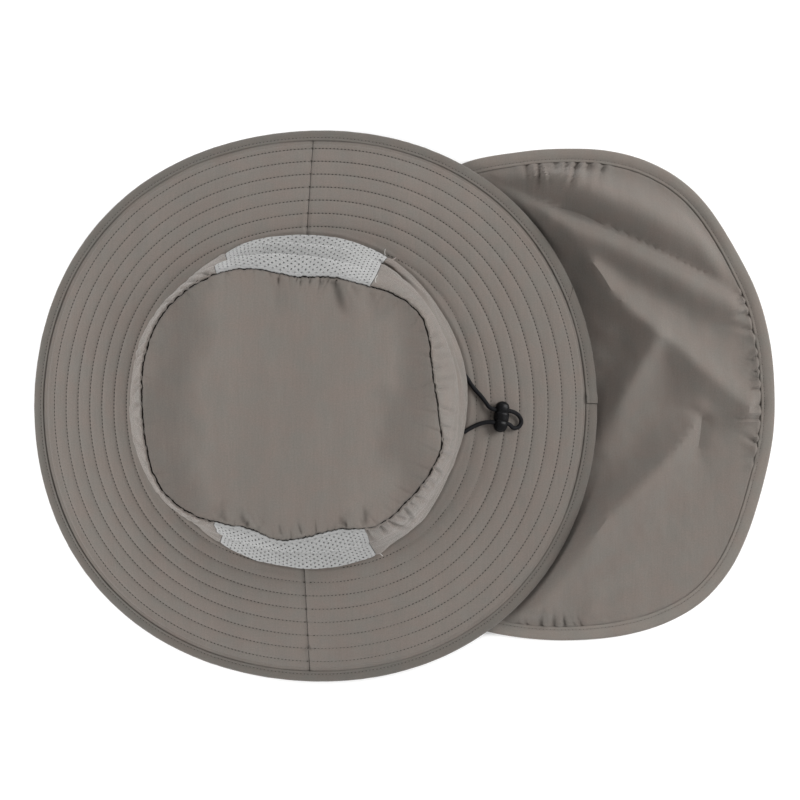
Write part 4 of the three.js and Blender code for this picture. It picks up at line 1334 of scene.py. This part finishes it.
tip_wrinkle = ripples(72, 9, along=1.5, spread=0.35)
tip_waver = ripples(73, 9)


# Puckers of the tip, in the same columns as those of the side
TIP_PUCKERS = puckers_round([
    (81, 66, 118, 7.0, (3, 8), (0.5, 1.2), (1.0, 1.8), (-0.3, 0.3)),
    (82, 118, 240, 10.0, (3, 8), (0.3, 0.8), (1.0, 2.0), (-0.4, 0.4)),
    (83, 240, 300, 7.0, (3, 8), (0.5, 1.1), (1.0, 1.8), (-0.4, 0.4)),
    (84, 300, 420, 8.0, (4, 10), (0.4, 0.9), (1.1, 2.2), (-0.5, 0.5)),
])
# The tip's rolled edge: distance in from its edge, and down from its own surface
TIP_ROLL = [
    (0.0, 3.4), (0.02, 1.7), (0.12, 0.8), (0.35, 0.3), (0.75, 0.05), (1.3, -0.1), (2.0, -0.12), (2.8, -0.05),
]


def tip_edge(heading):
    """Radius of the tip's edge. It closes up with the knit for a short way at the left."""
    along = np.radians(heading) * SEAM_ROUND
    meets = 0.4 * bell(np.mod(heading, 360) - 262, 4)
    beside_knit = bell(np.mod(heading, 180) - 90, 28)
    knots = 0.45 * beside_knit * smooth(np.cos(2 * np.pi * along / 3.1 + 3 * seam_waver(along, 9)), 0.1, 1)
    return crown_radius(SEAM, heading) - CROWN_WALL / 2 - 0.66 + meets - knots + 0.13 * tip_waver(along, 0)


def tip_surface(heading, inset, drop=0.0):
    edge = tip_edge(heading)
    radius = np.maximum(edge - inset, 0)
    rim = seam_height(heading) - CROWN_WALL / 2
    share = radius / edge
    height = mix(TIP_HEIGHT, rim, share**TIP_SHOULDER) + CROWN_WALL / 2
    point = from_head(heading, radius, height)
    x, y = point[..., 0] - HEAD[0], point[..., 1] - HEAD[1]
    for at_x, at_y, reach_x, reach_y, depth in TIP_DENTS:
        point[..., 2] -= depth * bell(x - at_x, reach_x) * bell(y - at_y, reach_y) * (1 - share**4)
    for x0, y0, x1, y1, width, depth in TIP_CREASES:
        step_x, step_y = x1 - x0, y1 - y0
        run = ((x - x0) * step_x + (y - y0) * step_y) / (step_x**2 + step_y**2)
        near = np.clip(run, 0, 1)
        off = np.hypot(x - x0 - near * step_x, y - y0 - near * step_y)
        crease = depth * bell(off, width) * smooth(run, -0.2, 0.7)
        point[..., 2] -= crease * mix(0.35, 1, smooth(inset, 0.3, 3.5))
    along = np.radians(heading) * SEAM_ROUND
    point[..., 2] += pucker_height(TIP_PUCKERS, along, inset, SEAM_LENGTH)
    point[..., 2] += (0.3 * tip_wave(x, y) + 0.05 * tip_wrinkle(x, y)) * smooth(inset, 0.5, 10)
    point[..., 2] -= drop
    return point


def make_tip():
    heading = np.linspace(0, 360, 800, endpoint=False)[:, None]
    along = np.radians(heading) * SEAM_ROUND
    edge = tip_edge(heading)
    rows = []
    for inset, drop in TIP_ROLL:
        pulled = scallop(along) * smooth(-inset, -1.2, 0)
        rows.append(tip_surface(heading, inset + pulled, drop))
    insets = [3.6, 4.6, 5.8, 7.2, 8.8, 10.6, 12.6, 14.8, 17.0, 19.5, 22.0]
    rows += [tip_surface(heading, inset + 0 * heading) for inset in insets]
    for share in np.linspace(0, 1, 17)[1:-1]:
        rows.append(tip_surface(heading, mix(22.0, edge, share)))
    grid = np.concatenate(rows, axis=1)
    cloth = grid[..., :2].copy()
    tip = shell("crown_tip_cloth", grid, 0.9, cloth, UPWARDS, ring=True, capped=True)
    finish_piece(tip, TIP_CLOTH_WITH_PAINTED_SHADE, "shell_cloth", "crown_tip")


make_tip()


# Strips of turned cloth behind the seams; those deep in the seams between the panels are dark with painted
# shade
# Distance outwards from the tip's seam, and down from it
TIP_ALLOWANCE = [(0.1, 1.6), (-0.55, 1.9), (-1.3, 1.7), (-3.0, 2.3)]
# Distance outwards from the brim's inner edge, and height
BASE_ALLOWANCE = [(-1.6, 38.2), (-0.8, 38.1), (-0.05, 38.0)]
UPRIGHT_SEAMS = {"a": RIGHT_REAR, "b": RIGHT_FRONT, "c": LEFT_FRONT, "d": LEFT_REAR}


def ribbon(name, upper, thickness, material, ring=False):
    """A strip between lines of points, its upper side given."""
    grid = np.stack(upper, axis=1)
    cloth = flat_cloth(lengths_along(grid[:, 0])[:, None], np.arange(grid.shape[1])[None, :])
    finish_piece(shell(name, grid, thickness, cloth, UPWARDS, ring=ring), material, "shell_cloth")


def make_round_ribbons():
    """A dark strip of painted shade deep in the tip's seam, and the turned cloth at the foot of the crown."""
    heading = np.linspace(0, 360, 360, endpoint=False)
    seam, height, inner = crown_radius(SEAM, heading), seam_height(heading), brim_inner(heading)
    lines = [from_head(heading, seam + out, height - down) for out, down in TIP_ALLOWANCE]
    # the strip deep in the tip's seam is painted shade
    ribbon("tip_seam_shade_strip", lines, 0.4, SEAM_PAINTED_SHADE, ring=True)
    lines = [from_head(heading, inner + out, level) for out, level in BASE_ALLOWANCE]
    ribbon("base_seam_allowance", lines, 0.35, SHELL, ring=True)


def make_brim_ribbon(name, at):
    seam = np.array([at])
    radius = np.linspace(brim_inner(seam)[0] - 0.2, brim_outer(seam)[0] - 2.5, 60)
    lines = []
    for off in (-3.0, 0.0, 3.0):
        turn = at + np.degrees(off / radius)
        lines.append(from_head(turn, radius, brim_height(turn, radius) - BRIM_WALL / 2 + 0.05))
    # a dark strip of painted shade deep in the brim's side seam
    ribbon(name, lines, 0.35, SEAM_PAINTED_SHADE)


def make_upright_ribbon(name, seam):
    share = np.linspace(0.02, 0.975, 90)
    turn = seam_at(seam, share)
    grid = np.stack([side_surface(turn + off, share, -1.55) for off in (-1.5, 0.0, 1.5)], axis=1)
    strip = shell(name, grid, 0.4, grid[..., 1:].copy(), from_axis(grid))
    # a dark strip of painted shade deep in the upright seam
    finish_piece(strip, SEAM_PAINTED_SHADE, "shell_cloth")


make_round_ribbons()
for side, at in zip(("right", "left"), BRIM_SEAMS):
    make_brim_ribbon("brim_seam_shade_strip_" + side, at)
for letter, seam in UPRIGHT_SEAMS.items():
    make_upright_ribbon("side_seam_shade_strip_" + letter, seam)

# Neck flap: ridges and valleys of the cloth as it lies
# Each fold is a line of points: x, y, height, reach to its left, reach to its right. Its two powers say how
# sharp its crest is on its left and right: 2 is a round swell, 1.2 a crisp edge
FLAP_FOLDS = [
    # upper ridge, from under the brim to the right-hand tape
    (2, 2, [
        (48, 125, 3, 12, 12), (62, 119, 6.5, 12, 13), (80, 111, 10, 12, 14), (103, 102, 12, 12, 15),
        (122, 94.5, 12, 12, 15), (139, 86.5, 11.5, 12, 14), (163, 74.5, 10, 12, 13),
        (180, 65.5, 7, 11, 12), (192, 58, 4, 9, 10),
    ]),
    # sharp valley above it
    (1.25, 1.25, [
        (50, 133.5, -1.5, 5, 4), (66, 127.5, -3.5, 5.5, 4), (84, 119.5, -5, 6, 4.5),
        (107, 110.5, -5.5, 6, 4.5), (126, 102.5, -5.5, 6, 4.5), (143, 94.5, -5, 6, 4.5),
        (167, 82.5, -4.5, 6, 4.5), (184, 73.5, -3.5, 5, 4), (196, 66, -1.5, 4, 4),
    ]),
    # second ridge above that, along the tape
    (2, 2, [
        (60, 142, 4, 9, 11), (78, 139, 7.5, 10, 12), (96, 132, 10.5, 11, 13), (114, 124.5, 12.5, 11, 13),
        (133, 116.5, 13, 12, 14), (150, 108, 12.5, 12, 14), (170, 97, 10, 11, 13), (186, 87, 6, 9, 11),
    ]),
    # ridge from a sharp point beside the brim to the lower right
    (1.7, 1.45, [
        (107.5, 87, 1.5, 4, 4), (111, 81.5, 6, 5, 6), (116, 74.5, 9, 7, 9), (122, 66.5, 11, 9, 12),
        (132, 56.5, 13, 11, 15), (141, 49, 13, 12, 15), (150, 42.5, 12, 12, 14), (160, 35, 11, 12, 13),
        (170, 26, 10, 12, 13), (181, 16, 9, 11, 12), (191, 8, 7, 10, 11), (203, -2, 4, 8, 9),
    ]),
    # branch of it that turns back to the brim
    (1.8, 1.5, [
        (147, 40, 5, 6, 9), (143, 32, 8, 8, 11), (138, 22, 10, 10, 12), (132, 11.5, 10, 11, 12),
        (126, 1.5, 9, 11, 12), (119, -8, 7, 11, 11), (112, -20, 4, 9, 9),
    ]),
    # long lower ridge
    (1.6, 1.35, [
        (173, -7, 4, 5, 8), (168, -15, 8, 7, 10), (160, -25, 11, 10, 12), (148, -37.5, 13.5, 15, 13),
        (138, -47, 14.5, 18, 14), (128, -57, 15, 20, 14), (118, -66.5, 15, 21, 14),
        (108, -78, 15, 21, 14), (99, -89, 14, 20, 13), (90, -100, 13, 18, 12), (80, -112, 11, 15, 10),
        (66, -125, 7, 12, 9),
    ]),
    # hooked crease at its top
    (1.6, 1.6, [
        (168, -2, -1, 3, 4), (173, -4.5, -3, 3, 4), (176, -8, -4.2, 3.5, 3.5), (176, -13, -4.4, 3.2, 3.2),
        (174, -20, -3.6, 3.6, 3.2), (172, -29, -1.6, 4.6, 3.6),
    ]),
    # short folds near the tape
    (1.6, 1.6, [
        (130, -105, 0.6, 7, 5), (120, -110, 2, 8, 5), (112, -116, 3, 8, 4.5), (108, -126, 2.5, 7, 4),
    ]),
    (1.6, 1.6, [(118, -98, -0.6, 8, 8), (104, -104, -1.4, 9, 8), (90, -113, -1.4, 8, 7)]),
    (1.6, 1.6, [(195, -9, 1.5, 5, 5), (203, -1, 3.2, 5, 5), (210, 8, 2.4, 5, 5)]),
    (1.6, 1.6, [(180, 52, 1, 8, 8), (192, 60, 2.4, 7, 8), (204, 57, 2, 6, 7)]),
    # small bumps where the cloth leaves the brim
    (1.6, 1.6, [(84, 110, 1.0, 3, 3), (84.5, 104, 2.6, 3, 3), (83.5, 99, 2.4, 3, 3)]),
    (1.6, 1.6, [(100, 74, 0.8, 5, 5), (108, 68, 1.8, 5, 5), (114, 61, 0.6, 5, 5)]),
    (1.6, 1.6, [(113, 48, 1.6, 5, 5), (117, 43, 1.8, 5, 5)]),
    (1.6, 1.6, [(114, 29, 1.2, 4, 4), (118, 26, 1.2, 4, 4)]),
]
FLAP_COLUMNS, FLAP_ROWS = 380, 80
# How much higher than in the table the folds rise, and the lowest that the middle of the cloth may lie
FOLD_RISE, FLAP_LOWEST = 1.35, 1.2
# How much of a pucker's depth the cloth rises beside it
PUCKER_RIDGE = 0.6
# Distances of the flap's last rows of points from its free edge
ROWS_BY_TAPE = np.array([12, 10.6, 9.4, 8.6, 8.1, 7.7, 7.4, 7.15, 6.9, 6.6, 6.2, 5.4, 4.4, 3.2, 2, 1, 0])
flap_wave = ripples(91, 26)
flap_crumple = ripples(92, 10)


def fold_height(x, y):
    height = np.zeros_like(x)
    for left_power, right_power, fold in FLAP_FOLDS:
        line = catmull_rom(fold, 8 * len(fold))
        best = np.full(x.shape, np.inf)
        rise, reach, power = np.zeros(x.shape), np.ones(x.shape), np.ones(x.shape)
        for a, b in zip(line[:-1], line[1:]):
            step = b[:2] - a[:2]
            dx, dy = x - a[0], y - a[1]
            share = np.clip((dx * step[0] + dy * step[1]) / (step @ step), 0, 1)
            distance = np.hypot(dx - share * step[0], dy - share * step[1])
            side = (step[0] * dy - step[1] * dx) / (np.hypot(*step) * np.maximum(np.hypot(dx, dy), 1e-6))
            leftness = smooth(side, -0.5, 0.5)
            closer = distance < best
            best = np.where(closer, distance, best)
            rise = np.where(closer, mix(a[2], b[2], share), rise)
            width = mix(mix(a[4], b[4], share), mix(a[3], b[3], share), leftness)
            reach = np.where(closer, width, reach)
            power = np.where(closer, mix(right_power, left_power, leftness), power)
        height += rise * np.exp(-((best / reach) ** power))
    return height


def flap_outline(count):
    ends = [from_head(h, brim_inner(h), 0)[:2] for h in (FLAP_FROM, FLAP_TO)]
    line = catmull_rom([tuple(ends[0]), *FLAP_EDGE, tuple(ends[1])], 4000)
    return at_lengths(line, np.linspace(0, lengths_along(line)[-1], count)), lengths_along(line)[-1]


def flap_surface(x, y, to_edge, along):
    """Outer side of the flap at a place on the floor, to_edge from its free edge."""
    heading, distance = polar(x, y)
    inner = brim_inner(heading)
    share = (distance - inner) / (brim_outer(heading) - inner)
    top = BASE_HEIGHT - BRIM_WALL / 2 - GAP - FLAP_WALL / 2 - FLAP_REST
    drop = top * np.maximum(0, 1 - share / FLAP_DROP_END) ** 1.5
    out = smooth(share, 0.94, 1.22)
    fold = FOLD_RISE * fold_height(x, y) * smooth(to_edge, 4.5, 16) * out
    ditch = 0.8 * bell(to_edge - FLAP_TAPE - 0.1, 0.45)
    pulled = pucker_height(FLAP_PUCKERS, along, to_edge - FLAP_TAPE + 0.5, ridge=PUCKER_RIDGE)
    fine = (0.3 * flap_wave(x, y) + 0.1 * flap_crumple(x, y)) * out * smooth(to_edge, 4, 20)
    height = FLAP_REST + drop + np.maximum(fold, -1.0) + pulled * smooth(share, 1.0, 1.3) + fine
    return np.maximum(height, FLAP_LOWEST) + FLAP_WALL / 2 - ditch


def edge_place(x, y):
    """How far along the flap's free edge it comes nearest to a place."""
    nearest = np.argmin(np.hypot(free_edge[:, 0] - x, free_edge[:, 1] - y))
    return nearest * free_length / (len(free_edge) - 1)


free_edge, free_length = flap_outline(FLAP_COLUMNS)
FLAP_PUCKERS = []
# Seed, x and y of the first and the last, spacing, then ranges of length, depth, width and slant
for seed, first, last, *ranges in [
    (101, (55, -133), (118, -136), 6.5, (6, 14), (1.2, 2.6), (1.2, 2.2), (0.5, 1.0)),
    (104, (130, -134), (205, -65), 17, (4, 8), (0.1, 0.3), (1.6, 3.0), (-0.2, 0.6)),
    (102, (213, -32), (206, 72), 7.5, (4, 12), (1.6, 3.4), (1.3, 2.6), (-0.8, 0.5)),
    (105, (200, 80), (130, 147), 19, (4, 8), (0.1, 0.3), (1.6, 3.0), (-0.6, 0.2)),
    (103, (122, 149), (72, 149), 7.0, (9, 20), (2.0, 4.0), (1.6, 2.6), (-1.0, -0.5)),
]:
    FLAP_PUCKERS += puckers(seed, edge_place(*first), edge_place(*last), *ranges)


def make_flap():
    across = np.linspace(0, 1, FLAP_COLUMNS)
    heading = mix(FLAP_FROM + FLAP_CORNER, FLAP_TO - FLAP_CORNER, across)
    sewn = from_head(heading, brim_inner(heading), 0)[:, :2]
    length = np.linalg.norm(free_edge - sewn, axis=1)[:, None]
    even = np.linspace(0, 1, FLAP_ROWS - len(ROWS_BY_TAPE) + 1)[None, :-1] * (1 - ROWS_BY_TAPE[0] / length)
    share = np.concatenate([even, 1 - ROWS_BY_TAPE / length], axis=1)
    grid = sewn[:, None] + (free_edge - sewn)[:, None] * share[..., None]
    x, y = grid[..., 0], grid[..., 1]
    tangent = unit(np.gradient(free_edge, axis=0))
    offset = grid - free_edge[:, None]
    to_edge = np.abs(offset[..., 0] * tangent[:, None, 1] - offset[..., 1] * tangent[:, None, 0])
    outer = stack(x, y, flap_surface(x, y, to_edge, across[:, None] * free_length))
    flap = shell("neck_flap_cloth", outer, FLAP_WALL - 0.2, grid.copy(), UPWARDS)
    finish_piece(flap, SHELL, "shell_cloth", "neck_flap")
    return flap, outer


def make_flap_tape(outer):
    edge = outer[:, -1].copy()
    edge[:, 2] -= FLAP_WALL / 2
    tangent = unit(np.gradient(edge, axis=0))
    inwards = unit(np.cross(stack(0, 0, 1), tangent))
    keep = slice(8, -8)
    edge, inwards, tangent = edge[keep], inwards[keep], tangent[keep]
    x = edge[:, 0] + inwards[:, 0] * FLAP_TAPE
    y = edge[:, 1] + inwards[:, 1] * FLAP_TAPE
    z = flap_surface(x, y, np.full(len(x), FLAP_TAPE), np.zeros(len(x)) - 1e6) - FLAP_WALL / 2
    inwards = (stack(x, y, z) - edge) / FLAP_TAPE
    up = unit(np.cross(tangent, inwards))
    up *= np.sign(up[:, 2:3])
    section = tape_section(FLAP_WALL / 2, FLAP_TAPE - GAP)
    along = lengths_along(edge)
    wobble = ripples(33, 17)(along, 0) * 0.06 + ripples(34, 6)(along, 0) * 0.05
    tape = tape_mesh("flap_tape", edge, inwards, up, section, wobble)
    finish_piece(tape, PALE_TAPE, "edge_tape", "flap_binding")
    stitching = Stitching(23)
    top = FLAP_WALL / 2 + TAPE_RISE
    line = edge + inwards * (FLAP_TAPE - GAP - TAPE_STITCH) + up * (top - 0.2 + wobble[:, None])
    stitching.along(line, up)
    stitching.make("flap_tape_stitches", "edge_tape", 1.6, 0.14, 0.2)
    return tape


flap, flap_outer = make_flap()
flap_tape = make_flap_tape(flap_outer)


# Loose thread ends: name, material, radius, points
TAILS = [
    ("tail_right", WARM_THREAD, 0.22, [
        (-11.0, 82.4, 52), (-8.8, 83.6, 49), (-6.6, 84.2, 46.5), (-4.8, 85.2, 45),
    ]),
    ("tail_right_short", PALE_THREAD, 0.2, [(-11.0, 90.4, 43.5), (-11.3, 88.6, 43.6), (-11.0, 86.8, 44.2)]),
    ("tail_right_top", PALE_THREAD, 0.18, [(-15.8, 68.2, 119.6), (-16.0, 70.2, 119.3), (-14.8, 72.2, 117.6)]),
    ("tail_left", PALE_THREAD, 0.22, [
        (-16.4, -82.0, 46.5), (-14.6, -84.4, 45), (-13.4, -85.4, 44.2), (-12.4, -86.4, 43.6),
    ]),
    ("tail_seam", THREAD, 0.2, [
        (-56.5, -138.0, 18.2), (-55.6, -140.4, 17.6), (-56.2, -143.0, 16.8), (-57.2, -141.2, 17.8),
    ]),
]
for name, material, radius, points in TAILS:
    finish_piece(tube(name, catmull_rom(points, 24), radius, 6), material, "shell_cloth")


# Floor, light
def make_floor():
    corners = [(-3000, -3000, 0), (3000, -3000, 0), (3000, 3000, 0), (-3000, 3000, 0)]
    floor = make_object("floor", np.array(corners), [[[0, 1, 2, 3]]])
    floor.data.materials.append(Nodes("white_ground").surface(
        Base_Color=(0.93, 0.93, 0.93, 1), Roughness=0.9, Specular_IOR_Level=0.0,
        Emission_Color=(1, 1, 1, 1), Emission_Strength=FLOOR_GLOW))


def area_light(name, place, target, size, power):
    data = bpy.data.lights.new(name, "AREA")
    data.shape, data.size, data.energy = "DISK", size, power
    light = bpy.data.objects.new(name, data)
    light.location = place
    light.rotation_euler = (Vector(target) - Vector(place)).to_track_quat("-Z", "Y").to_euler()
    bpy.context.scene.collection.objects.link(light)


# Light of the tent round the hat: sine of the height over the floor, brightness
TENT = [(0.0, 0.6), (0.35, 0.9), (0.7, 0.75), (1.0, 0.5)]
TENT_STRENGTH, FLOOR_GLOW = 1.05, 0.12
# Large soft lights at the hat's two ends: place in metres, power in watts
SOFTBOXES = [((1.68, 0.68, 1.0), 42.0), ((-1.72, -0.5, 1.0), 32.0)]
SOFTBOX_SIZE = 1.3


def make_tent():
    world = bpy.data.worlds.new("tent")
    world.use_nodes = True
    nodes, links = world.node_tree.nodes, world.node_tree.links
    place = nodes.new("ShaderNodeTexCoord")
    split = nodes.new("ShaderNodeSeparateXYZ")
    ramp = nodes.new("ShaderNodeValToRGB")
    links.new(place.outputs["Generated"], split.inputs[0])
    links.new(split.outputs["Z"], ramp.inputs["Fac"])
    while len(ramp.color_ramp.elements) < len(TENT):
        ramp.color_ramp.elements.new(0.5)
    for element, (at, bright) in zip(ramp.color_ramp.elements, TENT):
        element.position, element.color = at, (bright, bright, bright, 1)
    links.new(ramp.outputs["Color"], nodes["Background"].inputs["Color"])
    nodes["Background"].inputs["Strength"].default_value = TENT_STRENGTH
    bpy.context.scene.world = world


def make_light():
    make_tent()
    for k, (place, power) in enumerate(SOFTBOXES):
        area_light("softbox_" + "ab"[k], place, (0, 0, 0), SOFTBOX_SIZE, power)
    settings = bpy.context.scene.view_settings
    settings.view_transform, settings.look = "Standard", "None"
    settings.exposure, settings.gamma = 0, 1


make_floor()
make_light()
